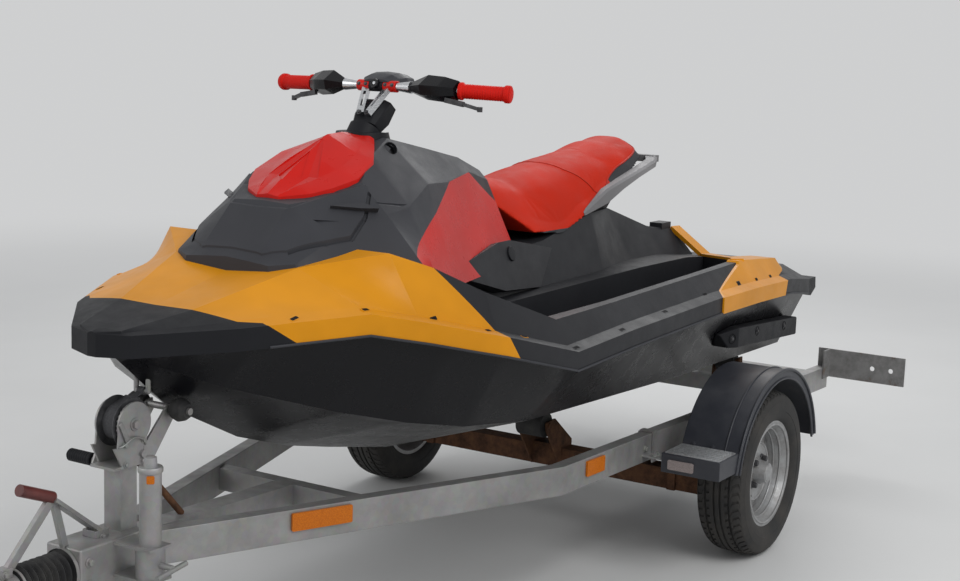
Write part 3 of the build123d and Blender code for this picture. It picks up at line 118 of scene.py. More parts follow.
def swept(name, path, radius, look, body=ROOT, sides=10):
    """A round bead or rod along a path of points, closed at its ends."""
    points = [Vector(p) for p in path]
    bm = bmesh.new()
    rings = []
    last = len(points) - 1
    up = None
    for i, p in enumerate(points):
        ahead = (points[min(i + 1, last)] - points[max(i - 1, 0)]).normalized()
        up = ahead.orthogonal().normalized() if up is None else (up - ahead * up.dot(ahead)).normalized()
        across = ahead.cross(up)
        rings.append([bm.verts.new(p + (up * math.cos(a) + across * math.sin(a)) * radius)
                      for a in (math.tau * k / sides for k in range(sides))])
    for a, b in zip(rings, rings[1:]):
        for k in range(sides):
            bm.faces.new((a[k], a[(k + 1) % sides], b[(k + 1) % sides], b[k]))
    bm.faces.new(list(reversed(rings[0])))
    bm.faces.new(rings[-1])
    return finished(name, bm, look, body, 60.0)


def bolt(bm, place, normal, radius, height):
    """Adds a washer and a six-sided head, standing along a normal, to a bmesh."""
    turn = Vector(normal).to_track_quat("Z", "Y").to_matrix().to_4x4()
    for r, h, n, z in ((radius * 1.35, height * 0.3, 20, 0.0), (radius, height, 6, height * 0.25)):
        made = bmesh.ops.create_cone(bm, cap_ends=True, segments=n, radius1=r, radius2=r * 0.94, depth=h,
                                     matrix=Matrix.Translation(Vector(place)) @ turn
                                     @ Matrix.Translation((0, 0, z + h / 2)))
        ends = [e for e in dict.fromkeys(e for v in made["verts"] for e in v.link_edges)
                if abs(e.calc_face_angle(0.0) - math.radians(90)) < 0.3]
        bevelled(bm, ends, h * 0.18, 2)


def bolts(name, places, radius, height, look, body=ROOT):
    """One piece of several bolts, from (point, normal) pairs."""
    bm = bmesh.new()
    for place, normal in places:
        bolt(bm, place, normal, radius, height)
    return finished(name, bm, look, body, 40.0)


def both_sides(*places):
    """Bolt places on both sides, from x, the distance out and z."""
    return [((x, side * out, z), (0, side, 0)) for x, out, z in places for side, _ in SIDES]


def slab(bm, corners, normal, depth, rounding=0.0, segments=3):
    """Adds a plate from its corner points, thickened along a normal, with rounded corners, to a bmesh."""
    n = Vector(normal).normalized()
    base = [bm.verts.new(Vector(c)) for c in corners]
    face = bm.faces.new(base)
    made = bmesh.ops.extrude_face_region(bm, geom=[face])
    top = [v for v in made["geom"] if isinstance(v, bmesh.types.BMVert)]
    bmesh.ops.translate(bm, verts=top, vec=n * depth)
    if rounding:
        uprights = [e for v in top for e in v.link_edges if e.other_vert(v) in base]
        bmesh.ops.bevel(bm, geom=uprights, offset=rounding, offset_type="OFFSET", affect="EDGES", segments=segments,
                        profile=0.5, material=-1)


def plate(name, corners, normal, depth, look, rounding=0.0, body=ROOT, smooth=35.0):
    """One slab as a piece of its own."""
    bm = bmesh.new()
    slab(bm, corners, normal, depth, rounding)
    return finished(name, bm, look, body, smooth)


def level(x0, x1, y0, y1, z):
    """Corners of a level rectangle."""
    return [(x0, y0, z), (x1, y0, z), (x1, y1, z), (x0, y1, z)]


def surface_of(*nodes):
    """A search tree over the merged meshes of carried-over nodes."""
    bm = bmesh.new()
    for node in nodes:
        bm.from_mesh(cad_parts[node].data)
    tree = BVHTree.FromBMesh(bm)
    bm.free()
    return tree


# Material helpers


class Recipe:
    """A node material under construction on a Principled shader."""

    def __init__(self, name, colour, roughness, metallic=0.0, coat=0.0, specular=0.5):
        self.material = bpy.data.materials.new(name)
        self.material.use_nodes = True
        self.tree = self.material.node_tree
        self.shader = self.tree.nodes["Principled BSDF"]
        for socket, value in (("Base Color", (*colour[:3], 1.0)), ("Roughness", roughness), ("Metallic", metallic),
                              ("Coat Weight", coat), ("Coat Roughness", 0.12), ("Specular IOR Level", specular)):
            self.shader.inputs[socket].default_value = value
        self.coords = self.node("TexCoord", {}).outputs["Object"]
        self.bump = None

    def link(self, a, b):
        self.tree.links.new(a, b)

    def node(self, kind, sockets, **settings):
        """A new node with its settings; each socket gets a number, a colour or another node's output."""
        node = self.tree.nodes.new("ShaderNode" + kind)
        for name, value in settings.items():
            setattr(node, name, value)
        for key, value in sockets.items():
            if hasattr(value, "is_linked"):
                self.link(value, node.inputs[key])
            else:
                node.inputs[key].default_value = value
        return node

    def mapped(self, scale):
        return self.node("Mapping", {"Scale": scale, "Vector": self.coords}).outputs["Vector"]

    def noise(self, scale, detail=4.0, roughness=0.55, vector=None):
        return self.node("TexNoise", {"Scale": scale, "Detail": detail, "Roughness": roughness,
                                      "Vector": vector or self.coords}).outputs["Fac"]

    def cells(self, scale, output="Distance"):
        return self.node("TexVoronoi", {"Scale": scale, "Vector": self.coords}).outputs[output]

    def ramp(self, value, stops):
        node = self.node("ValToRGB", {"Fac": value})
        elements = node.color_ramp.elements
        while len(elements) < len(stops):
            elements.new(0.5)
        for element, (place, colour) in zip(elements, stops):
            element.position = place
            element.color = (*colour, 1.0)
        return node.outputs["Color"]

    def mix(self, factor, a, b, blend="MIX"):
        return self.node("Mix", {0: factor, 6: a, 7: b}, data_type="RGBA", blend_type=blend).outputs[2]

    def maths(self, operation, a, b):
        return self.node("Math", {0: a, 1: b}, operation=operation).outputs[0]

    def colour(self, socket):
        self.link(socket, self.shader.inputs["Base Color"])

    def rough(self, value, low, high):
        node = self.node("MapRange", {"From Min": 0.3, "From Max": 0.7, "To Min": low, "To Max": high,
                                      "Value": value})
        self.link(node.outputs["Result"], self.shader.inputs["Roughness"])

    def relief(self, height, distance, strength):
        node = self.node("Bump", {"Distance": distance, "Strength": strength, "Height": height})
        if self.bump:
            self.link(self.bump, node.inputs["Normal"])
        self.bump = node.outputs["Normal"]
        self.link(self.bump, self.shader.inputs["Normal"])


def shade(colour, factor):
    return tuple(min(1.0, c * factor) for c in colour[:3])


def colours():
    return bpy.context.scene.watercraft_colours


FINISHES = {}


def finish(look):
    """The material of that name, made on first use from the scene's colour settings."""
    if look not in FINISHES:
        if look in MOULDED:
            name, colour, factor, roughness, grain, coat = MOULDED[look]
            colour = getattr(colours(), colour) if isinstance(colour, str) else colour
            FINISHES[look] = moulded(name, shade(colour, factor), roughness, grain, coat)
        elif look in WEATHERED:
            FINISHES[look] = weathered(**WEATHERED[look])
        else:
            FINISHES[look] = MAKERS[look]()
    return FINISHES[look]


def moulded(name, colour, roughness, grain, coat):
    """Injection-moulded plastic: slight tone drift, handling haze and a fine surface grain."""
    m = Recipe(name, colour, roughness, coat=coat, specular=0.16)
    m.colour(m.ramp(m.noise(3.5, 3.0), [(0.3, shade(colour, 0.86)), (0.7, shade(colour, 1.12))]))
    m.rough(m.noise(18.0, 6.0, 0.65), roughness * 0.86, min(1.0, roughness * 1.18))
    if grain:
        m.relief(m.noise(900.0, 2.0), 0.0004 * grain, 0.6)
    m.relief(m.noise(26.0, 2.0), 0.0006, 0.25)
    return m.material


# Moulded finishes: material name, colour or colour setting, its factor, roughness, grain, coat
MOULDED = {
    "amber": ("amber_panel", "amber", 1.0, 0.36, 0.0, 0.05),
    "red": ("red_panel", "red", 1.0, 0.3, 0.0, 0.08),
    "knee": ("knee_panel", "red", 0.85, 0.28, 0.0, 0.06),
    "deck": ("deck_panel", "charcoal", 0.5, 0.42, 0.5, 0.0),
    "charcoal": ("charcoal_panel", "charcoal", 1.0, 0.46, 0.5, 0.0),
    "black": ("black_grained", "black", 1.0, 0.5, 1.0, 0.0),
    "hull": ("black_hull", "hull", 1.0, 0.28, 0.0, 0.05),
    "grey": ("grey_moulding", (0.22, 0.215, 0.22), 1.0, 0.42, 0.3, 0.0),
    "grip": ("red_grip_rubber", "red", 1.05, 0.55, 0.6, 0.0),
    # shadow is no real moulding colour: a near-black finish that paints the shade inside the ledge slots and the
    # sponson bolt holes
    "shadow": ("dark_recess", (0.006, 0.006, 0.007), 1.0, 0.7, 0.4, 0.0),
    "seat_welt": ("seat_welt", "seat", 0.72, 0.5, 0.3, 0.0),
}


def weathered(name, colour, roughness, wear, stops, rough=None, relief=None, grain=None, pits=None,
              stretch=None, **shine):
    """A finish whose colour, gloss and relief follow wear; relief may come from a grain or pits instead."""
    m = Recipe(name, colour, roughness, **shine)
    worn = m.noise(*wear, vector=m.mapped(stretch) if stretch else None)
    m.colour(m.ramp(worn, stops))
    if rough:
        m.rough(worn, *rough)
    if relief:
        m.relief(m.noise(*grain) if grain else m.cells(pits) if pits else worn, *relief)
    return m.material


# Weathered finishes: wear and grain are noises of scale, detail and roughness; relief is distance and strength
WEATHERED = {
    "rubber": dict(
        name="black_rubber", colour=(0.02, 0.02, 0.021), roughness=0.75, wear=(14.0, 8.0, 0.7),
        stops=[(0.42, (0.016, 0.016, 0.017)), (0.75, (0.06, 0.057, 0.052))],
        grain=(300.0, 3.0), relief=(0.0004, 0.5)),
    "tyre": dict(
        name="tyre_rubber", colour=(0.022, 0.022, 0.022), roughness=0.82, wear=(9.0, 8.0, 0.7),
        stops=[(0.4, (0.018, 0.018, 0.018)), (0.72, (0.055, 0.05, 0.045))], rough=(0.72, 0.92),
        grain=(220.0, 3.0), relief=(0.0005, 0.5)),
    "rust": dict(
        name="rusty_steel", colour=(0.11, 0.055, 0.03), roughness=0.88, specular=0.2, wear=(22.0, 10.0, 0.72),
        stops=[(0.3, (0.04, 0.022, 0.014)), (0.5, (0.105, 0.052, 0.03)), (0.7, (0.18, 0.085, 0.042))],
        grain=(160.0, 6.0, 0.7), relief=(0.0015, 0.7)),
    "dark": dict(
        name="dark_steel", colour=(0.06, 0.06, 0.065), roughness=0.45, metallic=0.4, wear=(35.0, 6.0, 0.65),
        stops=[(0.35, (0.035, 0.035, 0.038)), (0.7, (0.11, 0.11, 0.115))], rough=(0.35, 0.6)),
    "bright": dict(
        name="bright_alloy", colour=(0.62, 0.63, 0.65), roughness=0.28, metallic=1.0, wear=(60.0, 4.0),
        stretch=(1.0, 1.0, 14.0), stops=[(0.3, (0.5, 0.51, 0.53)), (0.7, (0.7, 0.71, 0.72))], rough=(0.22, 0.38)),
    "cast": dict(
        name="cast_alloy", colour=(0.36, 0.37, 0.39), roughness=0.5, metallic=0.7, wear=(45.0, 6.0),
        stops=[(0.3, (0.26, 0.27, 0.28)), (0.7, (0.42, 0.43, 0.45))], grain=(400.0, 4.0), relief=(0.0006, 0.6)),
    "wheel": dict(
        name="wheel_paint", colour=(0.36, 0.37, 0.38), roughness=0.4, metallic=0.5, coat=0.1, wear=(24.0, 8.0, 0.7),
        stops=[(0.35, (0.38, 0.385, 0.39)), (0.62, (0.29, 0.285, 0.28)), (0.8, (0.14, 0.115, 0.095))],
        rough=(0.32, 0.6)),
    "strap": dict(
        name="strap_webbing", colour=(0.06, 0.06, 0.065), roughness=0.85, wear=(400.0, 2.0), stretch=(1.0, 5.0, 1.0),
        stops=[(0.35, (0.03, 0.03, 0.034)), (0.65, (0.1, 0.1, 0.105))], relief=(0.0006, 0.8)),
    "guard": dict(
        name="guard_plastic", colour=(0.03, 0.032, 0.04), roughness=0.42, wear=(8.0, 8.0, 0.65), rough=(0.34, 0.6),
        stops=[(0.38, (0.026, 0.028, 0.036)), (0.62, (0.04, 0.042, 0.05)), (0.8, (0.085, 0.085, 0.088))],
        grain=(240.0, 3.0), relief=(0.0004, 0.5)),
    "mat": dict(
        name="mat_foam", colour=(0.05, 0.05, 0.055), roughness=0.9, wear=(40.0, 5.0),
        stops=[(0.3, (0.035, 0.036, 0.04)), (0.7, (0.075, 0.076, 0.082))], pits=500.0, relief=(0.0006, 0.6)),
    "bright_worn": dict(
        name="worn_aluminium", colour=(0.55, 0.56, 0.57), roughness=0.4, metallic=0.8, wear=(70.0, 5.0),
        stretch=(1.0, 6.0, 1.0), stops=[(0.3, (0.4, 0.41, 0.42)), (0.7, (0.62, 0.63, 0.64))], rough=(0.3, 0.55)),
    "brown_grip": dict(
        name="brown_grip", colour=(0.1, 0.02, 0.018), roughness=0.4, wear=(40.0, 5.0),
        stops=[(0.3, (0.075, 0.015, 0.014)), (0.7, (0.14, 0.035, 0.03))], rough=(0.32, 0.5)),
}


def worn_zinc():
    zinc = colours().zinc
    return weathered("worn_zinc", zinc, 0.5, (16.0, 8.0, 0.7), [
        (0.4, shade(zinc, 0.9)), (0.58, shade(zinc, 0.65)), (0.68, (0.16, 0.075, 0.03)), (0.8, (0.09, 0.035, 0.015))],
        rough=(0.42, 0.85), relief=(0.0012, 0.5), metallic=0.5)


def galvanised():
    """Hot-dip zinc: crystal spangle, pale run marks and dull patches."""
    zinc = colours().zinc
    m = Recipe("galvanised_steel", zinc, 0.5, metallic=0.55)
    patches = m.ramp(m.noise(7.0, 6.0, 0.6), [(0.3, shade(zinc, 0.78)), (0.7, shade(zinc, 1.15))])
    m.colour(m.mix(0.06, patches, m.cells(70.0, "Color"), "SOFT_LIGHT"))
    m.rough(m.noise(30.0, 5.0), 0.38, 0.62)
    m.relief(m.noise(120.0, 4.0), 0.0004, 0.4)
    return m.material


# Edge of the seat's charcoal tail in side view: x + 1 and z - 1, in metres
TAIL_EDGE = ((0.0, 0.235), (0.045, 0.224), (0.075, 0.205), (0.14, 0.184), (0.265, 0.156), (0.35, 0.122),
             (0.40, 0.0), (1.0, 0.0))


def seat_vinyl():
    """Red marine vinyl in front, charcoal on the raised tail's sides."""
    seat = colours().seat
    m = Recipe("seat_vinyl", seat, 0.55, specular=0.1)
    red = m.ramp(m.noise(5.0, 4.0), [(0.3, shade(seat, 0.88)), (0.7, shade(seat, 1.1))])
    parts = m.node("SeparateXYZ", {"Vector": m.coords}).outputs
    edge = m.node("FloatCurve", {"Value": m.maths("ADD", parts["X"], 1.0)})
    points = edge.mapping.curves[0].points
    for place in TAIL_EDGE[1:-1]:
        points.new(*place)
    for point, place in zip(points, TAIL_EDGE):
        point.location = place
        point.handle_type = "VECTOR"
    edge.mapping.update()
    tail = m.maths("LESS_THAN", m.maths("SUBTRACT", parts["Z"], 1.0), edge.outputs["Value"])
    m.colour(m.mix(tail, red, (0.045, 0.046, 0.05, 1.0)))
    m.rough(m.noise(20.0, 5.0), 0.5, 0.64)
    m.relief(m.cells(650.0), 0.0004, 0.45)
    return m.material


def reflector(name, colour, bright, dull):
    """Prismatic plastic."""
    m = Recipe(name, colour, 0.35, coat=0.1, specular=0.2)
    prism = m.cells(420.0)
    m.colour(m.ramp(prism, [(0.1, bright), (0.6, dull)]))
    m.relief(prism, 0.0004, 0.5)
    return m.material


def amber_reflector():
    return reflector("amber_reflector", (0.6, 0.16, 0.005), (0.68, 0.2, 0.006), (0.5, 0.12, 0.003))


def clear_reflector():
    return reflector("clear_reflector", (0.34, 0.29, 0.28), (0.38, 0.32, 0.31), (0.26, 0.22, 0.21))


BACKDROP = (0.62, 0.625, 0.63)
NEAR_FLOOR, FAR_FLOOR = 3.5, 9.0     # metres from the object over which the seen floor fades into the backdrop


def seeing_rays(tree):
    """Is 1 for the rays that show the backdrop: camera, glossy and transmission rays."""
    path = tree.nodes.new("ShaderNodeLightPath")
    seen = path.outputs["Is Camera Ray"]
    for kind in ("Is Glossy Ray", "Is Transmission Ray"):
        either = tree.nodes.new("ShaderNodeMath")
        either.operation = "MAXIMUM"
        tree.links.new(seen, either.inputs[0])
        tree.links.new(path.outputs[kind], either.inputs[1])
        seen = either.outputs[0]
    return seen


def chosen(tree, factor, near, far, output):
    """Mixes two shaders by a factor into an output node."""
    chooser = tree.nodes.new("ShaderNodeMixShader")
    for socket, source in zip(chooser.inputs, (factor, near, far)):
        tree.links.new(source, socket)
    tree.links.new(chooser.outputs[0], tree.nodes[output].inputs["Surface"])


def floor_material():
    m = Recipe("pale_floor", (0.74, 0.74, 0.73), 0.75)
    m.colour(m.ramp(m.noise(0.8, 4.0), [(0.3, (0.72, 0.72, 0.71)), (0.7, (0.76, 0.76, 0.75))]))
    away = m.node("VectorMath", {0: m.coords}, operation="LENGTH").outputs["Value"]
    fade = m.node("MapRange", {"From Min": NEAR_FLOOR, "From Max": FAR_FLOOR, "Value": away},
                  interpolation_type="SMOOTHSTEP").outputs["Result"]
    glow = m.node("Emission", {"Color": (*BACKDROP, 1.0)}).outputs["Emission"]
    chosen(m.tree, m.maths("MULTIPLY", fade, seeing_rays(m.tree)), m.shader.outputs["BSDF"], glow, "Material Output")
    return m.material


MAKERS = {"zinc": galvanised, "worn": worn_zinc, "seat": seat_vinyl, "reflector": amber_reflector,
          "clear": clear_reflector, "floor": floor_material}

# The nodes that each finish goes on
FINISHED_NODES = {
    "hull": "hull hand_guards",
    "cast": "engine_block jet_pump steering_nozzle ride_plate",
    "black": "bow_bumper seat_shell rear_platform sponsons reverse_gate column_cowl steering_stem "
             "handbrake_grip door_latches crank_grip",
    "amber": "front_shroud corner_covers tail_trim",
    "red": "nose_cover bar_clamps",
    "charcoal": "hood console gauge_cowl",
    "knee": "knee_panels",
    "deck": "deck side_doors",
    "seat": "seat",
    "grey": "grab_handle",
    "zinc": "bow_eye chassis_rails cross_members winch_post winch_crank coupling_box coupling_head "
            "handbrake_lever jockey_tube jockey_leg jockey_fork",
    "bright": "impeller riser_arms handlebar",
    "grip": "grips",
    "dark": "levers winch_drum",
    "rust": "axle_beam roller_bracket winch_brace",
    "wheel": "wheel_port wheel_starboard",
    "tyre": "tyre_port tyre_starboard",
    "guard": "mudguards",
    "worn": "lamp_brackets",
    "rubber": "rollers bellows jockey_wheel",
    "strap": "winch_strap",
}
NODE_FINISH = {node: look for look, nodes in FINISHED_NODES.items() for node in nodes.split()}


# Settings


def tint(name, description, default):
    return FloatVectorProperty(name=name, description=description, subtype="COLOR", size=3, min=0.0, max=1.0,
                               default=default)


def length(name, description, default, least=0.0):
    return FloatProperty(name=name, description=description, unit="LENGTH", default=default, min=least)


def angle_of(name, description, default):
    return FloatProperty(name=name, description=description, subtype="ANGLE", default=default)


class WatercraftColours(bpy.types.PropertyGroup):
    amber: tint("Amber panels", "Colour of the front shroud and corner covers", (0.68, 0.27, 0.006))
    red: tint("Red panels", "Colour of the nose cover, knee panels and clamps", (0.6, 0.009, 0.004))
    seat: tint("Seat", "Colour of the seat cover", (0.58, 0.024, 0.007))
    charcoal: tint("Deck", "Colour of hood, console and, darker, of the deck", (0.045, 0.046, 0.052))
    black: tint("Black mouldings", "Colour of bumper, guards and small mouldings", (0.012, 0.0125, 0.015))
    hull: tint("Hull", "Colour of the hull below the rub band", (0.006, 0.006, 0.0075))
    zinc: tint("Zinc", "Colour of the galvanised steel", (0.325, 0.32, 0.315))


class WatercraftStage(bpy.types.PropertyGroup):
    camera_place: FloatVectorProperty(name="Camera place", description="Where the camera stands", subtype="XYZ",
                                      size=3, unit="LENGTH", default=(3.801, 2.455, 1.564))
    camera_yaw: angle_of("Camera yaw", "Direction of view about the vertical", 3.698)
    camera_pitch: angle_of("Camera pitch", "How far the view looks down", 0.161)
    camera_roll: angle_of("Camera roll", "Tilt of the picture", 0.034)
    camera_lens: FloatProperty(name="Lens", description="Focal length on a 36 mm sensor", default=59.6, min=10.0)
    key_power: FloatProperty(name="Key light", description="Power of the main soft lamp", subtype="POWER",
                             default=150.0, min=0.0)
    ambient: FloatProperty(name="Ambient", description="Strength of the even light from all round", default=0.5,
                           min=0.0)


class WatercraftSeat(bpy.types.PropertyGroup):
    pressure: FloatProperty(name="Pressure", description="Inner pressure that blows the cushion up", default=4.0,
                            min=0.0)
    cap: length("Cap", "How far a point of the cover may move", 0.014)
    voxel: length("Voxel", "Size of the remeshing grid", 0.006, 0.002)


class WatercraftWheels(bpy.types.PropertyGroup):
    nuts: IntProperty(name="Wheel nuts", description="Number of nuts on each wheel", default=4, min=3)
    nut_circle: length("Nut circle", "Radius of the circle of nuts", 0.05, 0.02)
    sipes: IntProperty(name="Grooves", description="Number of slanting grooves round each tyre", default=60, min=12)
    groove: length("Groove depth", "Depth of the slanting grooves", 0.004)


# Operators

# Soft lamps: name, place, size, share of the key light's power
LAMPS = (("key", (1.5, 4.5, 4.6), 3.2, 1.0), ("fill", (5.0, -2.8, 3.6), 3.0, 0.45),
         ("back", (-4.5, -1.5, 4.2), 3.0, 0.5))
LIT_POINT = Vector((0, 0, 0.6))


class StageOperator(bpy.types.Operator):
    """Set out the pale floor, the soft lamps and the camera"""
    bl_idname = "watercraft.stage"
    bl_label = "Stage"

    def execute(self, context):
        s = context.scene.watercraft_stage
        scene = context.scene
        bm = bmesh.new()
        bmesh.ops.create_grid(bm, x_segments=1, y_segments=1, size=40.0)
        floor = finished("floor", bm, "floor", outward=False)
        floor.parent = None
        world = bpy.data.worlds.new("studio")
        world.use_nodes = True
        tree = world.node_tree
        background = tree.nodes["Background"]
        background.inputs["Color"].default_value = (0.9, 0.92, 0.95, 1.0)
        background.inputs["Strength"].default_value = s.ambient
        bright = tree.nodes.new("ShaderNodeBackground")
        bright.inputs["Color"].default_value = (*BACKDROP, 1.0)
        chosen(tree, seeing_rays(tree), background.outputs[0], bright.outputs[0], "World Output")
        scene.world = world
        for name, place, size, share in LAMPS:
            data = bpy.data.lights.new(name, "AREA")
            data.size = size
            data.energy = s.key_power * share
            lamp = bpy.data.objects.new(name, data)
            lamp.location = place
            lamp.rotation_mode = "QUATERNION"
            lamp.rotation_quaternion = (LIT_POINT - Vector(place)).to_track_quat("-Z", "Y")
            scene.collection.objects.link(lamp)
        camera = bpy.data.objects.new("camera", bpy.data.cameras.new("camera"))
        scene.collection.objects.link(camera)
        ahead = Vector((math.cos(s.camera_yaw) * math.cos(s.camera_pitch),
                        math.sin(s.camera_yaw) * math.cos(s.camera_pitch), -math.sin(s.camera_pitch)))
        right = ahead.cross(Vector((0, 0, 1))).normalized()
        up = right.cross(ahead)
        turn, lean = math.cos(s.camera_roll), math.sin(s.camera_roll)
        right, up = right * turn + up * lean, up * turn - right * lean
        matrix = Matrix((right, up, -ahead)).transposed().to_4x4()
        matrix.translation = Vector(s.camera_place)
        camera.matrix_world = matrix
        camera.data.lens = s.camera_lens
        camera.data.sensor_width = 36.0
        camera.data.clip_start = 0.05
        camera.data.clip_end = 200.0
        scene.camera = camera
        scene.view_settings.view_transform = "Standard"
        return {"FINISHED"}


class FinishOperator(bpy.types.Operator):
    """Give every carried-over solid its finish"""
    bl_idname = "watercraft.finishes"
    bl_label = "Finishes"

    def execute(self, context):
        for node, name in NODE_FINISH.items():
            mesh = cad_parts[node].data
            mesh.materials.clear()
            mesh.materials.append(finish(name))
        return {"FINISHED"}


# Rounded edges: node, width in metres, bevel segments, least edge angle
SHELL_ROUNDS = (
    ("hull", 0.006, 3, 12.0), ("bow_bumper", 0.005, 2, 14.0), ("front_shroud", 0.004, 3, 12.0),
    ("nose_cover", 0.006, 3, 12.0), ("hood", 0.005, 3, 12.0), ("console", 0.004, 3, 14.0),
    ("knee_panels", 0.004, 3, 14.0), ("deck", 0.004, 3, 14.0), ("corner_covers", 0.002, 2, 20.0),
    ("rear_platform", 0.005, 3, 20.0), ("sponsons", 0.005, 3, 20.0), ("seat_shell", 0.006, 3, 20.0),
    ("grab_handle", 0.005, 3, 18.0), ("side_doors", 0.003, 2, 25.0), ("door_latches", 0.002, 2, 30.0),
    ("tail_trim", 0.002, 2, 25.0),
)


class ShellOperator(bpy.types.Operator):
    """Round the edges of the hull, the deck and the body panels"""
    bl_idname = "watercraft.shell"
    bl_label = "Body panels"

    def execute(self, context):
        for node, width, segments, angle in SHELL_ROUNDS:
            softened(node, width, segments=segments, angle=angle)
        return {"FINISHED"}


class SeatOperator(bpy.types.Operator):
    """Blow up the seat cushion under its cover and sew its seams"""
    bl_idname = "watercraft.seat"
    bl_label = "Seat"

    def execute(self, context):
        s = context.scene.watercraft_seat
        obj = finished("seat_cushion", new_bmesh_from("seat"), "seat", smooth=60.0, replaces=("seat",))
        remesh = obj.modifiers.new("remesh", "REMESH")
        remesh.mode = "VOXEL"
        remesh.voxel_size = s.voxel
        applied(obj)
        shape_saddle(obj)
        smooth = obj.modifiers.new("smooth", "SMOOTH")
        smooth.iterations = SMOOTHING_PASSES
        smooth.factor = 0.5
        smooth.vertex_group = "free"
        applied(obj)
        before = [v.co.copy() for v in obj.data.vertices]
        blown_up(context, obj, s.pressure)
        for v, old in zip(obj.data.vertices, before):
            move = v.co - old
            if move.length > s.cap:
                move = move.normalized() * s.cap
            v.co = old + move
        subdivision = obj.modifiers.new("subdivision", "SUBSURF")
        subdivision.levels = subdivision.render_levels = 1
        applied(obj)
        obj.data.shade_smooth()
        obj.data.materials.clear()
        obj.data.materials.append(finish("seat"))
        tree = BVHTree.FromObject(obj, context.evaluated_depsgraph_get())
        for name, line, radius in SEAT_SEAMS:
            hits = [tree.ray_cast(Vector((x, 0.6, z)), Vector((0, -1, 0)))[0] for x, z in smoothed_line(line, 10)]
            path = [p for p in hits if p]
            if name == "cross_seam":
                arch = path + [across_top(tree, path[-1], share) for share in (0.75, 0.5, 0.25, 0.0)]
                swept("seat_cross_seam", arch + far_side(reversed(arch[:-1])), radius, "seat_welt")
            else:
                swept(f"seat_{name}_port", path, radius, "seat_welt")
                swept(f"seat_{name}_starboard", far_side(path), radius, "seat_welt")
        return {"FINISHED"}


SMOOTHING_PASSES = 60
SWELL_FRAMES = 20
COVER_CLOTH = {"quality": 4, "mass": 0.3, "tension_stiffness": 15.0, "compression_stiffness": 15.0,
               "bending_stiffness": 0.6, "vertex_group_mass": "held", "use_pressure": True}
SKIRT_BLEND = 0.10                    # height above the skirt at which the cover is quite free, in metres
TOUCHING, CLEARED = 0.004, 0.02       # distances from the panels at which the cover starts to be free, and the fade
UNDERSIDE = -0.7                      # normals that point further down than this belong to the cushion's base
# Lower edge of the cover, and how far its saddle lies below the solid's crown: x, height in metres
SEAT_SKIRT = ((-0.978, 1.184), (-0.920, 1.172), (-0.800, 1.136), (-0.640, 1.088), (-0.470, 1.036),
              (-0.280, 0.986), (-0.133, 1.000), (-0.020, 1.084))
SADDLE_DROP = ((-0.978, -0.006), (-0.920, 0.0), (-0.800, 0.024), (-0.640, 0.046), (-0.470, 0.043),
               (-0.280, 0.032), (-0.200, 0.026), (-0.133, 0.004), (-0.050, 0.0), (-0.020, 0.0))
# Seams in side view: name, (x, z) line, radius
SEAT_SEAMS = (
    ("cross_seam", ((-0.560, 1.066), (-0.540, 1.100), (-0.500, 1.135), (-0.460, 1.158)), 0.0022),
    ("tail_welt", ((-0.600, 1.098), (-0.650, 1.122), (-0.735, 1.156), (-0.860, 1.184), (-0.925, 1.205),
                   (-0.955, 1.224)), 0.0028),
)


def along_table(rows, x):
    """The value at x on an eased line through the rows' points."""
    x = min(max(x, rows[0][0]), rows[-1][0])
    for (x0, a), (x1, b) in zip(rows, rows[1:]):
        if x <= x1:
            return a + (b - a) * eased((x - x0) / (x1 - x0))
    return rows[-1][1]


def clamped(t):
    return min(1.0, max(0.0, t))


def eased(t):
    return t * t * (3 - 2 * t)


def shape_saddle(obj):
    """Lowers the cover to its saddle, and marks where it is free to swell and where it is held."""
    under = surface_of("console", "deck", "knee_panels", "seat_shell", "grab_handle")
    free = obj.vertex_groups.new(name="free")
    held = obj.vertex_groups.new(name="held")
    for v in obj.data.vertices:
        x, _, z = v.co
        rise = eased(clamped((z - along_table(SEAT_SKIRT, x)) / SKIRT_BLEND))
        v.co.z = z - along_table(SADDLE_DROP, x) * rise
        room = clamped((under.find_nearest(v.co)[3] - TOUCHING) / CLEARED) if v.normal.z > UNDERSIDE else 0.0
        loose = min(rise * 1.6, 1.0) * room
        free.add([v.index], loose, "REPLACE")
        held.add([v.index], 1.0 - loose, "REPLACE")


def far_side(points):
    return [Vector((p.x, -p.y, p.z)) for p in points]


def smoothed_line(line, steps):
    """Points along a rounded line through the given points."""
    out = []
    for i in range(len(line) - 1):
        near = line[max(i - 1, 0)], line[i], line[i + 1], line[min(i + 2, len(line) - 1)]
        for t in (k / steps for k in range(steps)):
            out.append(tuple(0.5 * (2 * b + (c - a) * t + (2 * a - 5 * b + 4 * c - d) * t * t
                                    + (3 * b - a - 3 * c + d) * t ** 3) for a, b, c, d in zip(*near)))
    return out + [tuple(line[-1])]


def across_top(tree, edge, share):
    """The cover's top at a share of the way out from the centre plane to a point on its side."""
    hit = tree.ray_cast(Vector((edge.x + 0.03 * (1 - share), edge.y * share, 1.6)), Vector((0, 0, -1)))
    return hit[0]


def applied(obj):
    """Bakes an object's modifiers into its mesh."""
    graph = bpy.context.evaluated_depsgraph_get()
    mesh = bpy.data.meshes.new_from_object(obj.evaluated_get(graph))
    obj.modifiers.clear()
    obj.data = mesh


def blown_up(context, obj, pressure):
    """Cloth under inner pressure without gravity, applied."""
    cloth = obj.modifiers.new("cloth", "CLOTH")
    for name, value in COVER_CLOTH.items():
        setattr(cloth.settings, name, value)
    cloth.settings.uniform_pressure_force = pressure
    cloth.settings.effector_weights.gravity = 0.0
    cloth.point_cache.frame_start = 1
    cloth.point_cache.frame_end = SWELL_FRAMES
    for frame_number in range(1, SWELL_FRAMES + 1):
        context.scene.frame_set(frame_number)
    applied(obj)
    context.scene.frame_set(1)


AXLE_X, AXLE_Z, WHEEL_Y = -0.7, 0.2565, 0.663      # the wheels' centres


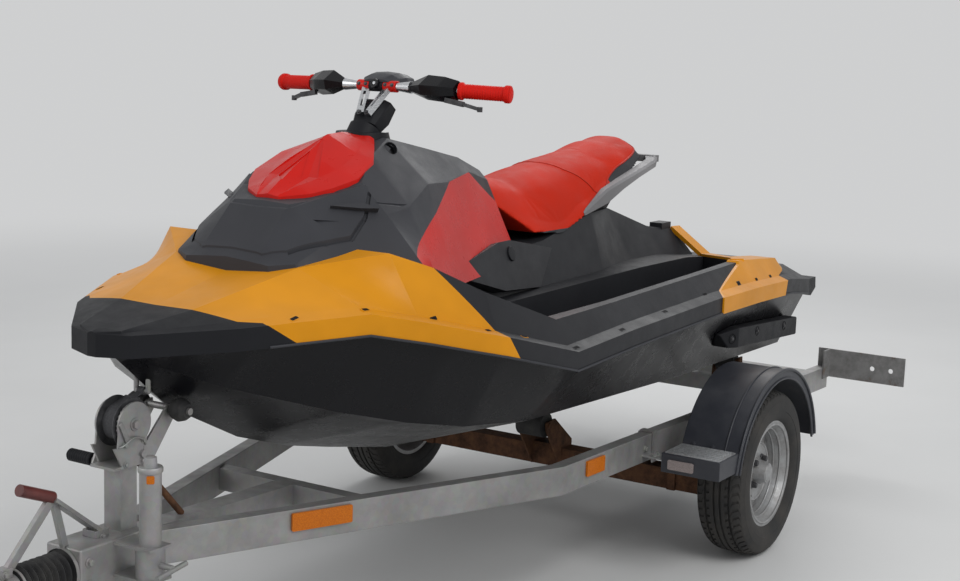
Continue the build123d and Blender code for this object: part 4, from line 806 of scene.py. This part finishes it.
def round_axle(angle, radius, y):
    """A point at an angle and a radius round the axle."""
    return AXLE_X + math.cos(angle) * radius, y, AXLE_Z + math.sin(angle) * radius


class WheelOperator(bpy.types.Operator):
    """Fit treaded tyres, wheel nuts, hub caps and valves"""
    bl_idname = "watercraft.wheels"
    bl_label = "Wheels"

    def execute(self, context):
        s = context.scene.watercraft_wheels
        for side, word in SIDES:
            body = "wheel_unit_" + word
            centre = Vector((AXLE_X, side * WHEEL_Y, AXLE_Z))
            out = Vector((0, side, 0))
            finished(f"tyre_{word}_treaded", tyre_mesh(centre, side, s), "tyre", body, 30.0, ("tyre_" + word,))
            softened("wheel_" + word, 0.0012, body, 2, 25.0)
            turns = [math.tau * (i + 0.5) / s.nuts for i in range(s.nuts)]
            bolts("wheel_nuts_" + word,
                  [(centre + Vector((math.cos(a) * s.nut_circle, side * 0.018, math.sin(a) * s.nut_circle)), out)
                   for a in turns], 0.0095, 0.016, "dark", body)
            spun("hub_cap_" + word, HUB_CAP, centre, out, "wheel", body, 48)
            spun("hub_ring_" + word, HUB_RING, centre, out, "worn", body, 48)
            for name, across, radius, bead in RIM_BEADS:
                ring = [(across + math.cos(math.tau * k / 10) * bead, radius + math.sin(math.tau * k / 10) * bead)
                        for k in range(10)]
                spun(f"{name}_{word}", ring, centre, out, "wheel", body, 72, 60.0)
            stem = centre + Vector((0.118, side * 0.02, -0.045))
            valve = (stem, stem + out * 0.022, stem + out * 0.034 + Vector((0.004, 0, 0)))
            swept("valve_" + word, valve, 0.0042, "rubber", body)
            spun("brake_drum_" + word, BRAKE_DRUM, centre, out, "rust", body, 48)
        return {"FINISHED"}


# Turned outlines: place outwards of the wheel's middle plane, radius
HUB_CAP = ((0.030, 0.0), (0.030, 0.031), (0.052, 0.030), (0.060, 0.026), (0.064, 0.018), (0.066, 0.0))
HUB_RING = ((0.0185, 0.036), (0.0215, 0.038), (0.0215, 0.044), (0.0185, 0.046), (0.016, 0.046), (0.016, 0.036))
BRAKE_DRUM = ((-0.075, 0.0), (-0.075, 0.105), (-0.070, 0.112), (-0.020, 0.112), (-0.014, 0.105), (-0.014, 0.0))
# Pressed beads of the steel wheel: name, place outwards, radius, bead radius
RIM_BEADS = (("rim_lip", 0.0600, 0.1530, 0.0048), ("rim_well_bead", 0.0395, 0.1385, 0.0036),
             ("rim_seat_bead", 0.0200, 0.1325, 0.0030), ("disc_bead", 0.0175, 0.0890, 0.0040))
# Half of the tyre's outline from the tread's middle: place across, radius, and 1 where slanting grooves cut it
TYRE_HALF = (
    (0.000, 0.2565, 0), (0.006, 0.2565, 0), (0.0065, 0.2505, 0), (0.0125, 0.2505, 0), (0.013, 0.2563, 0),
    (0.024, 0.2560, 0), (0.0245, 0.2560, 1), (0.0335, 0.2555, 1), (0.034, 0.2495, 0), (0.040, 0.2493, 0),
    (0.0405, 0.2546, 0), (0.048, 0.2535, 1), (0.0575, 0.2505, 1), (0.064, 0.2465, 1), (0.069, 0.2415, 0),
    (0.0725, 0.2340, 0), (0.0755, 0.2240, 0), (0.0762, 0.2235, 0), (0.0772, 0.2140, 0), (0.0780, 0.2050, 0),
    (0.0775, 0.1960, 0), (0.0762, 0.1945, 0), (0.0750, 0.1850, 0), (0.0715, 0.1745, 0), (0.0660, 0.1665, 0),
    (0.0620, 0.1640, 0), (0.0560, 0.1640, 0))
TYRE_INSIDE = ((0.038, 0.1470, 0), (0.010, 0.1400, 0), (-0.040, 0.1450, 0))
# Rows of points in each groove's pitch: share of the pitch, and 1 at the groove's bottom
GROOVE_ROWS = ((0.0, 0), (0.66, 0), (0.68, 1), (0.98, 1))
SLANT = 0.55      # shares of the pitch by which a groove slants over the tread's first 40 mm


def tyre_mesh(centre, side, s):
    """A road tyre: rounded sidewalls with rings, and a tread of ribs cut by slanting grooves."""
    outline = [(-a, r, cut) for a, r, cut in reversed(TYRE_HALF[1:])] + [*TYRE_HALF, *TYRE_INSIDE]
    bm = bmesh.new()
    pitch = math.tau / s.sipes
    rings = []
    for i in range(s.sipes):
        for share, low in GROOVE_ROWS:
            row = []
            for a, r, cut in outline:
                radius = r - s.groove * low * cut
                angle = math.tau * i / s.sipes + pitch * share + SLANT * pitch * a / 0.04 * cut
                row.append(bm.verts.new(centre + Vector((math.cos(angle) * radius, side * a,
                                                         math.sin(angle) * radius))))
            rings.append(row)
    for a, b in zip(rings, rings[1:] + rings[:1]):
        for k in range(len(outline)):
            n = (k + 1) % len(outline)
            bm.faces.new((a[k], a[n], b[n], b[k]))
    return bm


# Rolled edges of the mudguards: name, radius round the axle, bead radius
GUARD_BEADS = (("outer", 0.3255, 0.0045), ("inner", 0.2985, 0.0035))
GUARD_EDGE_Y, GUARD_RIB_Y = 0.7465, 0.700       # how far out the edges and the rib lie
GUARD_RIB = (0.3262, 0.0028)                    # radius round the axle, bead radius
STEP_X, STEP_Y = (-0.392, -0.268), (0.568, 0.739)
STEP_PLATE_Z, STEP_RIB_Z = 0.3862, 0.3880
STEP_RIBS, STEP_RIB_X, STEP_RIB_PITCH, STEP_RIB_WIDTH = 7, -0.385, 0.018, 0.006
FRONT_REFLECTOR_X, FRONT_REFLECTOR_Y, FRONT_REFLECTOR_Z = -0.2618, (0.585, 0.665), (0.342, 0.370)
GUARD_BOLT_ANGLES, GUARD_BOLTS_Y = (0.42, math.pi - 0.42), (0.60, 0.66)


class MudguardOperator(bpy.types.Operator):
    """Roll the mudguards' edges and fit their step plates, reflectors and bolts"""
    bl_idname = "watercraft.mudguards"
    bl_label = "Mudguards"

    def execute(self, context):
        softened("mudguards", 0.0022, angle=25.0)
        arc = [math.radians(a) for a in range(12, 169, 4)]
        for side, word in SIDES:
            for place, radius, bead in GUARD_BEADS:
                swept(f"mudguard_{place}_bead_{word}", [round_axle(a, radius, side * GUARD_EDGE_Y) for a in arc],
                      bead, "guard")
            radius, bead = GUARD_RIB
            swept(f"mudguard_rib_{word}", [round_axle(a, radius, side * GUARD_RIB_Y) for a in arc[2:-1]], bead,
                  "guard")
            low, high = sorted(side * y for y in STEP_Y)
            plate(f"step_plate_{word}", level(*STEP_X, low, high, STEP_PLATE_Z), (0, 0, 1), 0.0022, "bright_worn",
                  0.006)
            bm = bmesh.new()
            for k in range(STEP_RIBS):
                x = STEP_RIB_X + k * STEP_RIB_PITCH
                slab(bm, level(x, x + STEP_RIB_WIDTH, low + 0.012, high - 0.012, STEP_RIB_Z), (0, 0, 1), 0.0022,
                     0.0024, 2)
            finished(f"step_ribs_{word}", bm, "bright_worn")
            y0, y1 = sorted(side * y for y in FRONT_REFLECTOR_Y)
            z0, z1 = FRONT_REFLECTOR_Z
            plate(f"front_reflector_{word}",
                  [(FRONT_REFLECTOR_X, y, z) for y, z in ((y0, z0), (y1, z0), (y1, z1), (y0, z1))], (1, 0, 0),
                  0.005, "clear", 0.004)
            bolts(f"mudguard_bolts_{word}",
                  [(round_axle(a, GUARD_BEADS[0][1], side * y), (math.cos(a), 0, math.sin(a)))
                   for a in GUARD_BOLT_ANGLES for y in GUARD_BOLTS_Y], 0.0065, 0.005, "guard")
        return {"FINISHED"}


# Rounded edges of the steelwork: node, width in metres
FRAME_ROUNDS = (
    ("chassis_rails", 0.005), ("cross_members", 0.003), ("coupling_box", 0.006), ("lamp_brackets", 0.0018),
    ("axle_beam", 0.003), ("roller_bracket", 0.0015), ("winch_post", 0.0014), ("coupling_head", 0.003),
    ("handbrake_lever", 0.0022), ("jockey_tube", 0.0012), ("jockey_fork", 0.0012), ("bow_eye", 0.001))
# Reflectors on the rails' outer faces: from x to x, in metres
SIDE_REFLECTORS = ((0.799, 0.960), (-0.078, 0.026))
REFLECTOR_BAND = (0.052, 0.008)                   # depths of their lower and upper edges below the rail's top
CLIP_X, CLIP_HALF, CLIP_Y = -0.400, 0.014, (0.4285, 0.4715)
CLIP_DROP, CLIP_LIFT = 0.088, 0.0015              # how far the clip reaches below the rail's top, and stands above it
RAIL_FACE, RAIL_MIDDLE = 0.470, 0.45              # how far out the rail's outer face and its middle lie
RAIL_TOP, RAIL_RISE = 0.395, 0.026                # height of its top over the axle, and rise per metre forwards
RAIL_BEND, RAIL_TAPER = 0.150, 0.420 / 1.195      # where the rails turn inwards, and how fast
# Bolts of the cross members: their x, then distance out and depth below the rail's top
JOINTS_X, FLANGE_BOLT, WEB_BOLT = (-0.345, -1.045), (0.506, 0.0535), (0.4705, 0.04)


class FrameOperator(bpy.types.Operator):
    """Round and bolt the trailer's steelwork, with clips, reflectors and brackets"""
    bl_idname = "watercraft.frame"
    bl_label = "Trailer frame"

    def execute(self, context):
        for node, width in FRAME_ROUNDS:
            softened(node, width, "jockey_fork_unit" if node == "jockey_fork" else ROOT, 2, 30.0)
        places = []
        for side, _ in SIDES:
            for x in JOINTS_X:
                out, depth = FLANGE_BOLT
                places += [((x + d, side * out, rail_top(x) - depth), (0, 0, 1)) for d in (-0.009, 0.009)]
                out, depth = WEB_BOLT
                places.append(((x, side * out, rail_top(x) - depth), (0, side, 0)))
        bolts("frame_bolts", places, 0.0075, 0.007, "zinc")
        for side, word in SIDES:
            strap_round_rail(f"rail_clip_{word}", CLIP_X, side)
            for i, (x0, x1) in enumerate(SIDE_REFLECTORS):
                plate(f"side_reflector_{word}_{i}", reflector_corners(x0, x1, side), rail_out(x0, side), 0.006,
                      "reflector", 0.004)
        return {"FINISHED"}


def rail_top(x):
    return RAIL_TOP + RAIL_RISE * (x - AXLE_X)


def rail_out(x, side):
    return Vector((RAIL_TAPER if x > RAIL_BEND else 0.0, side, 0)).normalized()


def reflector_corners(x0, x1, side):
    out = rail_out(x0, side) * 0.0004
    low, high = REFLECTOR_BAND
    return [(x + out.x, side * (RAIL_FACE - RAIL_TAPER * max(0.0, x - RAIL_BEND)) + out.y, rail_top(x) - d)
            for x, d in ((x0, low), (x1, low), (x1, high), (x0, high))]


def strap_round_rail(name, x, side):
    """A flat clip wrapped over the rail."""
    top = rail_top(x)
    y_in, y_out = (side * y for y in CLIP_Y)
    line = [(y_in, top - CLIP_DROP), (y_in, top + CLIP_LIFT), (y_out, top + CLIP_LIFT), (y_out, top - CLIP_DROP)]
    across = Vector((CLIP_HALF, 0, 0))
    bm = bmesh.new()
    for (ya, za), (yb, zb) in zip(line, line[1:]):
        n = Vector((1, 0, 0)).cross(Vector((0, yb - ya, zb - za)).normalized())
        if n.dot(Vector((0, (ya + yb) / 2 - side * RAIL_MIDDLE, (za + zb) / 2 - top + CLIP_DROP / 2))) < 0:
            n = -n
        a, b = Vector((x, ya, za)), Vector((x, yb, zb))
        slab(bm, [a - across, a + across, b + across, b - across], n, 0.004)
    finished(name, bm, "zinc")


WINCH = Vector((1.322, 0.0, 0.692))      # the drum's centre
STRAP_HALF, STRAP_RADIUS, WRAPS = 0.0215, 0.0412, 12
GEAR_TEETH, GEAR_Y = 28, 0.0262
# One tooth of the gear: share of the pitch, radius
TOOTH = ((0.0, 0.043), (0.25, 0.048), (0.5, 0.048), (0.75, 0.043))
CRANK_END, CRANK_RIBS = (1.316, -0.0975, 0.588), 9
PLATE_BOLTS = ((1.296, 0.652), (1.352, 0.650), (1.300, 0.606), (1.350, 0.606))
PAWL_SPRING = ((1.2895, 0.037, 0.640), (1.3, 0.041, 0.655), (1.33, 0.042, 0.664), (1.36, 0.041, 0.652),
               (1.3705, 0.037, 0.648))
PAWL = ((1.338, 0.0368, 0.658), (1.352, 0.0368, 0.654), (1.372, 0.0368, 0.700), (1.364, 0.0368, 0.706))


class WinchOperator(bpy.types.Operator):
    """Wind the strap on the winch and fit its gear, pawl and bolts"""
    bl_idname = "watercraft.winch"
    bl_label = "Winch"

    def execute(self, context):
        drum = "drum_unit"
        softened("winch_drum", 0.0008, drum, 2, 30.0)
        wraps = [(-STRAP_HALF + 2 * STRAP_HALF * k / (WRAPS - 1), STRAP_RADIUS + 0.0002 * (k % 2))
                 for k in range(WRAPS)]
        spun("wound_strap", [(-STRAP_HALF, 0.0383), *wraps, (STRAP_HALF, 0.0383)], WINCH, (0, 1, 0), "strap", drum,
             64, 50.0)
        teeth = [(math.cos(a) * r, math.sin(a) * r) for a, r in
                 ((math.tau * (k + share) / GEAR_TEETH, r) for k in range(GEAR_TEETH) for share, r in TOOTH)]
        plate("winch_gear", [(WINCH.x + x, GEAR_Y, WINCH.z + z) for x, z in teeth], (0, 1, 0), 0.004, "zinc",
              body=drum, smooth=30.0)
        bolts("winch_shaft_nuts", both_sides((1.322, 0.0365, 0.692)), 0.011, 0.007, "zinc")
        bolts("winch_plate_bolts", both_sides(*((x, 0.0362, z) for x, z in PLATE_BOLTS)), 0.0055, 0.005, "zinc")
        softened("winch_crank", 0.001, "crank_unit", 2, 30.0)
        grip = [(0.0, 0.0), (0.0, 0.0135), (0.002, 0.0150)]
        for k in range(CRANK_RIBS):
            y = 0.008 + RIB_PITCH * k
            grip += [(y, 0.0148), (y + 0.002, 0.0138), (y + 0.004, 0.0148)]
        grip += [(0.070, 0.0148), (0.0735, 0.0120), (0.0745, 0.0)]
        spun("crank_grip_ribbed", grip, CRANK_END, (0, -1, 0), "black", "crank_unit", 40, 40.0, ("crank_grip",))
        swept("pawl_spring", smoothed_line(PAWL_SPRING, 6), 0.0022, "zinc")
        plate("winch_pawl", PAWL, (0, 1, 0), 0.004, "worn", 0.002)
        return {"FINISHED"}


BELLOWS = (1.5, 0.0, 0.4)       # the bellows' rear end, on the coupling's shaft
FOLDS, FOLDED = 7, 0.124        # count, and the length that they take up
# One fold of the bellows: share of its length, radius
FOLD = ((0.02, 0.0385), (0.12, 0.0355), (0.30, 0.0365), (0.42, 0.0420), (0.52, 0.0455), (0.62, 0.0455),
        (0.74, 0.0420), (0.88, 0.0370))
JOCKEY_X, JOCKEY_Y = 1.372, 0.130
JOCKEY_HUB = (1.327, 0.130, 0.080)
# Turned outlines: place along the axis, radius
JOCKEY_CAP = ((0.0, 0.0), (0.0, 0.0265), (0.003, 0.0275), (0.009, 0.0275), (0.012, 0.0255), (0.013, 0.0))
JOCKEY_SLEEVE = ((0.0, 0.0095), (0.0, 0.0150), (0.020, 0.0135), (0.022, 0.0095))
JOCKEY_TREAD = ((-0.022, 0.055), (-0.0235, 0.066), (-0.021, 0.0745), (-0.015, 0.0790), (-0.006, 0.0800),
                (0.006, 0.0800), (0.015, 0.0790), (0.021, 0.0745), (0.0235, 0.066), (0.022, 0.055))
JOCKEY_RIM = ((-0.0235, 0.009), (-0.0235, 0.022), (-0.012, 0.024), (-0.009, 0.046), (-0.022, 0.050),
              (-0.022, 0.0552), (0.022, 0.0552), (0.022, 0.050), (0.009, 0.046), (0.012, 0.024), (0.0235, 0.022),
              (0.0235, 0.009))


def tube(x0, x1, inner, outer):
    """Outline of a short tube for spun."""
    return (x0, inner), (x0, outer), (x1, outer), (x1, inner)


class CouplingOperator(bpy.types.Operator):
    """Fold the overrun bellows and finish the coupling, the handbrake and the jockey wheel"""
    bl_idname = "watercraft.coupling"
    bl_label = "Coupling and jockey wheel"

    def execute(self, context):
        line = [(0.0, 0.0), (0.0, 0.050), (0.006, 0.050)]
        line += [(0.008 + FOLDED * (k + share) / FOLDS, r) for k in range(FOLDS) for share, r in FOLD]
        line += [(0.133, 0.038), (0.136, 0.039), (0.1395, 0.039), (0.1395, 0.0)]
        spun("bellows_folded", line, BELLOWS, (1, 0, 0), "rubber", ROOT, 72, 40.0, ("bellows",))
        spun("bellows_band", tube(0.001, 0.009, 0.0502, 0.0515), BELLOWS, (1, 0, 0), "zinc", ROOT, 64)
        spun("bellows_front_band", tube(0.1330, 0.1390, 0.0392, 0.0408), BELLOWS, (1, 0, 0), "zinc", ROOT, 64)
        softened("handbrake_grip", 0.004, angle=30.0, look="brown_grip")
        bolts("handbrake_pins", both_sides((1.668, 0.0125, 0.4385), (1.405, 0.0205, 0.454)), 0.0065, 0.006, "zinc")
        bolts("coupling_bolts", both_sides((1.475, 0.0525, 0.372), (1.475, 0.0525, 0.422))
              + [((1.44, -0.0525, z), (0, -1, 0)) for z in (0.372, 0.422)], 0.0085, 0.008, "zinc")
        bolts("coupling_head_bolts", both_sides((1.68, 0.0318, 0.4), (1.73, 0.0318, 0.4)), 0.0075, 0.007, "zinc")
        spun("jockey_cap", JOCKEY_CAP, (JOCKEY_X, JOCKEY_Y, 0.613), (0, 0, 1), "zinc", ROOT, 48)
        facing = Vector((0.722, 0.692, 0.0))
        across = Vector((-0.692, 0.722, 0.0)) * 0.0085
        tall = Vector((0, 0, 0.018))
        label = Vector((JOCKEY_X, JOCKEY_Y, 0.592)) + facing * 0.0246
        plate("jockey_label", [label - across, label + across, label + across + tall, label - across + tall], facing,
              0.0009, "reflector", 0.003)
        spun("jockey_sleeve", JOCKEY_SLEEVE, (JOCKEY_X, JOCKEY_Y, 0.625), (0, 0, 1), "zinc", ROOT, 32)
        wheel = "jockey_wheel_unit"
        spun("jockey_tyre", JOCKEY_TREAD, JOCKEY_HUB, (0, 1, 0), "rubber", wheel, 72, 40.0, ("jockey_wheel",))
        spun("jockey_rim", JOCKEY_RIM, JOCKEY_HUB, (0, 1, 0), "wheel", wheel, 72, 30.0)
        bolts("jockey_axle_nuts", [((1.327, JOCKEY_Y + side * 0.0395, 0.080), (0, side, 0)) for side, _ in SIDES],
              0.009, 0.007, "zinc", "jockey_fork_unit")
        return {"FINISHED"}


# Rounded edges of what turns with the bar: node, width in metres, least edge angle
STEERING_ROUNDS = (("steering_stem", 0.003, 30.0), ("riser_arms", 0.002, 30.0), ("bar_clamps", 0.002, 30.0),
                   ("hand_guards", 0.005, 20.0), ("gauge_cowl", 0.007, 20.0), ("levers", 0.002, 30.0))
BAR = Vector((0.3918, 0.0, 1.4168))             # the bar's middle, its bend and its end, on the port side
BAR_BEND = Vector((0.3918, 0.096, 1.4168))
BAR_END = Vector((0.3298, 0.364, 1.4108))
STEM_LINE = Vector((0.788, 0.0, 0.6157))        # the foot bolts' direction
RISER_FOOT = Vector((0.4532, 0.0, 1.3457))
GRIP_RIBS, RIB_PITCH = 15, 0.0070
GRIP_START, GRIP_STOP = 0.1418, 0.2793          # distances of the grip's inner and outer end from the bend
KEY_POST = ((0.0, 0.0), (0.0, 0.0125), (0.0085, 0.0125), (0.0100, 0.0115), (0.0100, 0.0070), (0.0070, 0.0062),
            (0.0070, 0.0))
KEY_CONTACT = ((0.0065, 0.0), (0.0065, 0.0050), (0.0105, 0.0046), (0.0112, 0.0030), (0.0112, 0.0))
GRIP_END = ((0.0, 0.0), (0.0, 0.0195), (0.0015, 0.0170), (0.0022, 0.0))


class SteeringOperator(bpy.types.Operator):
    """Finish the handlebar with its clamps, ribbed grips, guards, levers and gauge"""
    bl_idname = "watercraft.steering"
    bl_label = "Steering"

    def execute(self, context):
        body = "steering"
        for node, width, angle in STEERING_ROUNDS:
            softened(node, width, body, 3, angle)
        softened("column_cowl", 0.004, ROOT, 3, 30.0)
        spun("bar_sleeve", tube(-0.0215, 0.0215, 0.0112, 0.0150), BAR, (0, 1, 0), "black", body, 40)
        facing = Vector((0.93, 0.0, 0.37)).normalized()
        post = BAR + facing * 0.012
        spun("key_post", KEY_POST, post, facing, "hull", body, 40)
        spun("key_contact", KEY_CONTACT, post, facing, "bright_worn", body, 32)
        bolts("riser_foot_bolts", [(RISER_FOOT + Vector((0, side * 0.012, 0)) + STEM_LINE * 0.006, STEM_LINE)
                                   for side, _ in SIDES], 0.0052, 0.005, "dark", body)
        bolts("clamp_bolts", [(BAR + Vector((0.0140, side * y, 0.0045)), (0.95, 0, 0.3)) for side, _ in SIDES
                              for y in (0.031, 0.053)], 0.0040, 0.004, "dark", body)
        along = (BAR_END - BAR_BEND).normalized()
        grip = [(0.0, 0.0112), (0.0, 0.0222), (0.003, 0.0230), (0.008, 0.0230), (0.011, 0.0192)]
        for k in range(GRIP_RIBS):
            y = 0.014 + RIB_PITCH * k
            grip += [(y, 0.0190), (y + 0.0018, 0.0183), (y + 0.0036, 0.0183), (y + 0.0052, 0.0190)]
        grip += [(0.1200, 0.0192), (0.1235, 0.0226), (0.1335, 0.0230), (0.1368, 0.0215), (0.1375, 0.0112)]
        for side, word in SIDES:
            flip = Matrix.Diagonal((1, side, 1))
            spun("grip_" + word, grip, flip @ (BAR_BEND + along * GRIP_START), flip @ along, "grip", body, 48, 40.0,
                 ("grips",) if side > 0 else ())
            spun("grip_end_" + word, GRIP_END, flip @ (BAR_BEND + along * GRIP_STOP), flip @ along, "grip", body,
                 40)
        return {"FINISHED"}


# Where the slots lie along the ledge: x, y, z
LEDGE_SLOTS = ((1.098, 0.296, 0.929), (0.944, 0.376, 0.939), (0.767, 0.443, 0.903), (0.623, 0.505, 0.862),
               (0.486, 0.526, 0.831), (0.302, 0.573, 0.782), (0.052, 0.575, 0.793), (-0.237, 0.562, 0.803),
               (-0.546, 0.546, 0.812), (-0.823, 0.534, 0.812), (-0.989, 0.526, 0.805), (-1.138, 0.518, 0.800))
PANEL_ENDS = (-0.95, 0.4)       # the amber panels lie outside these x
# Lower edge of the rub band: x, y, z
RUB_LINE = ((-1.535, 0.505, 0.692), (-1.380, 0.524, 0.713), (-1.290, 0.534, 0.724), (-0.940, 0.562, 0.742),
            (-0.600, 0.580, 0.750), (0.0, 0.592, 0.740), (0.319, 0.590, 0.725), (0.581, 0.542, 0.794),
            (0.700, 0.505, 0.823), (0.808, 0.462, 0.850), (0.952, 0.398, 0.882), (1.160, 0.278, 0.871))
SPONSON_HOLES = ((-0.790, 0.537, 0.640), (-0.998, 0.537, 0.636), (-1.281, 0.519, 0.612))
SLOT_HALVES = (0.0135, 0.0075)
MAT_RIBS, MAT_Y, MAT_PITCH, MAT_RIB, MAT_Z = 11, 0.314, 0.0142, 0.0115, 0.6402
HOLE_SHADE_CUP = ((-0.004, 0.0), (-0.004, 0.0125), (0.0008, 0.0165), (0.0016, 0.0150), (-0.001, 0.0120), (-0.001, 0.0))
VENT_RING = ((-0.003, 0.0155), (0.003, 0.0190), (0.0035, 0.0170), (-0.003, 0.0145))


class TrimOperator(bpy.types.Operator):
    """Add slots, screws, mats and small trim to the body"""
    bl_idname = "watercraft.trim"
    bl_label = "Body trim"

    def execute(self, context):
        tree = surface_of("deck", "front_shroud", "corner_covers", "bow_bumper")
        for word, look, wanted in (("panel", "amber", True), ("deck", "deck", False)):
            rims, holes = bmesh.new(), bmesh.new()
            for x, y, z in LEDGE_SLOTS:
                if (not PANEL_ENDS[0] <= x <= PANEL_ENDS[1]) == wanted:
                    for side, _ in SIDES:
                        place, normal, _, _ = tree.find_nearest(Vector((x, side * y, z)))
                        frame_slot(rims, holes, place, -normal if normal.z < 0 else normal, *SLOT_HALVES)
            finished(word + "_slot_rims", rims, look)
            # Each slot's floor is a near-black plate: painted shade, not a real dark part
            finished(word + "_slot_holes", holes, "shadow")
        tree = surface_of("sponsons")
        heads = []
        for k, (x, y, z) in enumerate(SPONSON_HOLES):
            for side, word in SIDES:
                place, normal, _, _ = tree.find_nearest(Vector((x, side * y, z)))
                normal = (-normal if normal.y * side < 0 else normal).normalized()
                # A near-black cup in each bolt hole paints the hole's shade; the bolt head sits in it
                spun(f"sponson_hole_{k}_{word}", HOLE_SHADE_CUP, place, normal, "shadow", ROOT, 32)
                heads.append((place - normal * 0.001, normal))
        bolts("sponson_bolts", heads, 0.0058, 0.004, "dark")
        for side, word in SIDES:
            swept("rub_strip_" + word, [(x, side * (y + 0.0015), z + 0.001) for x, y, z in RUB_LINE], 0.0032,
                  "charcoal", sides=12)
        for side, word in SIDES:
            finished("footwell_mat_" + word, well_mat(side), "mat")
        for side, word in SIDES:
            spun("vent_ring_" + word, VENT_RING, (0.4905, side * 0.1125, 1.2625), (0.40, side * 0.80, 0.44), "black",
                 ROOT, 40)
        return {"FINISHED"}


def frame_slot(rims, holes, place, normal, half_long, half_wide):
    """A shallow moulded slot on the ledge: a raised rim, and on it a near-black plate of painted shade for the slot's
    floor.
    """
    along = Vector((1, 0, 0))
    along = (along - normal * along.dot(normal)).normalized()
    across = normal.cross(along)

    def corners(a, b, lift):
        return [place + along * p * a + across * q * b + normal * lift
                for p, q in ((-1, -1), (1, -1), (1, 1), (-1, 1))]

    slab(rims, corners(half_long, half_wide, -0.002), normal, 0.0026, 0.003)
    slab(holes, corners(half_long * 0.78, half_wide * 0.66, 0.0), normal, 0.0010, 0.002, 2)


def well_mat(side):
    """Grooved foam on a footwell's floor."""
    bm = bmesh.new()
    for k in range(MAT_RIBS):
        y = MAT_Y + MAT_PITCH * k
        rib = level(-0.98 + 0.006 * k, 0.36 - 0.004 * k, side * y, side * (y + MAT_RIB), MAT_Z)
        slab(bm, rib, (0, 0, 1), 0.0052)
    bmesh.ops.recalc_face_normals(bm, faces=bm.faces)
    round_edges(bm, 0.0014, 2, 40.0)
    return bm


STEPS = (StageOperator, FinishOperator, ShellOperator, SeatOperator, WheelOperator, MudguardOperator, FrameOperator,
         WinchOperator, CouplingOperator, SteeringOperator, TrimOperator)


class WatercraftPanel(bpy.types.Panel):
    """Lists the building steps and their settings"""
    bl_idname = "VIEW3D_PT_watercraft"
    bl_label = "Watercraft"
    bl_space_type = "VIEW_3D"
    bl_region_type = "UI"
    bl_category = "Watercraft"

    def draw(self, context):
        for step in STEPS:
            self.layout.operator(step.bl_idname)
        for setting in SETTINGS:
            group = getattr(context.scene, setting)
            box = self.layout.box()
            for name in group.bl_rna.properties.keys():
                if name not in {"rna_type", "name"}:
                    box.prop(group, name)


CLASSES = (WatercraftColours, WatercraftStage, WatercraftSeat, WatercraftWheels, *STEPS, WatercraftPanel)
SETTINGS = {"watercraft_colours": WatercraftColours, "watercraft_stage": WatercraftStage,
            "watercraft_seat": WatercraftSeat, "watercraft_wheels": WatercraftWheels}


def register():
    for cls in CLASSES:
        bpy.utils.register_class(cls)
    for name, group in SETTINGS.items():
        setattr(bpy.types.Scene, name, PointerProperty(type=group))


def unregister():
    for name in SETTINGS:
        delattr(bpy.types.Scene, name)
    for cls in reversed(CLASSES):
        bpy.utils.unregister_class(cls)


def main():
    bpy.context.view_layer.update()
    register()
    for step in STEPS:
        group, name = step.bl_idname.split(".")
        getattr(getattr(bpy.ops, group), name)()


if __name__ == "__main__":
    main()
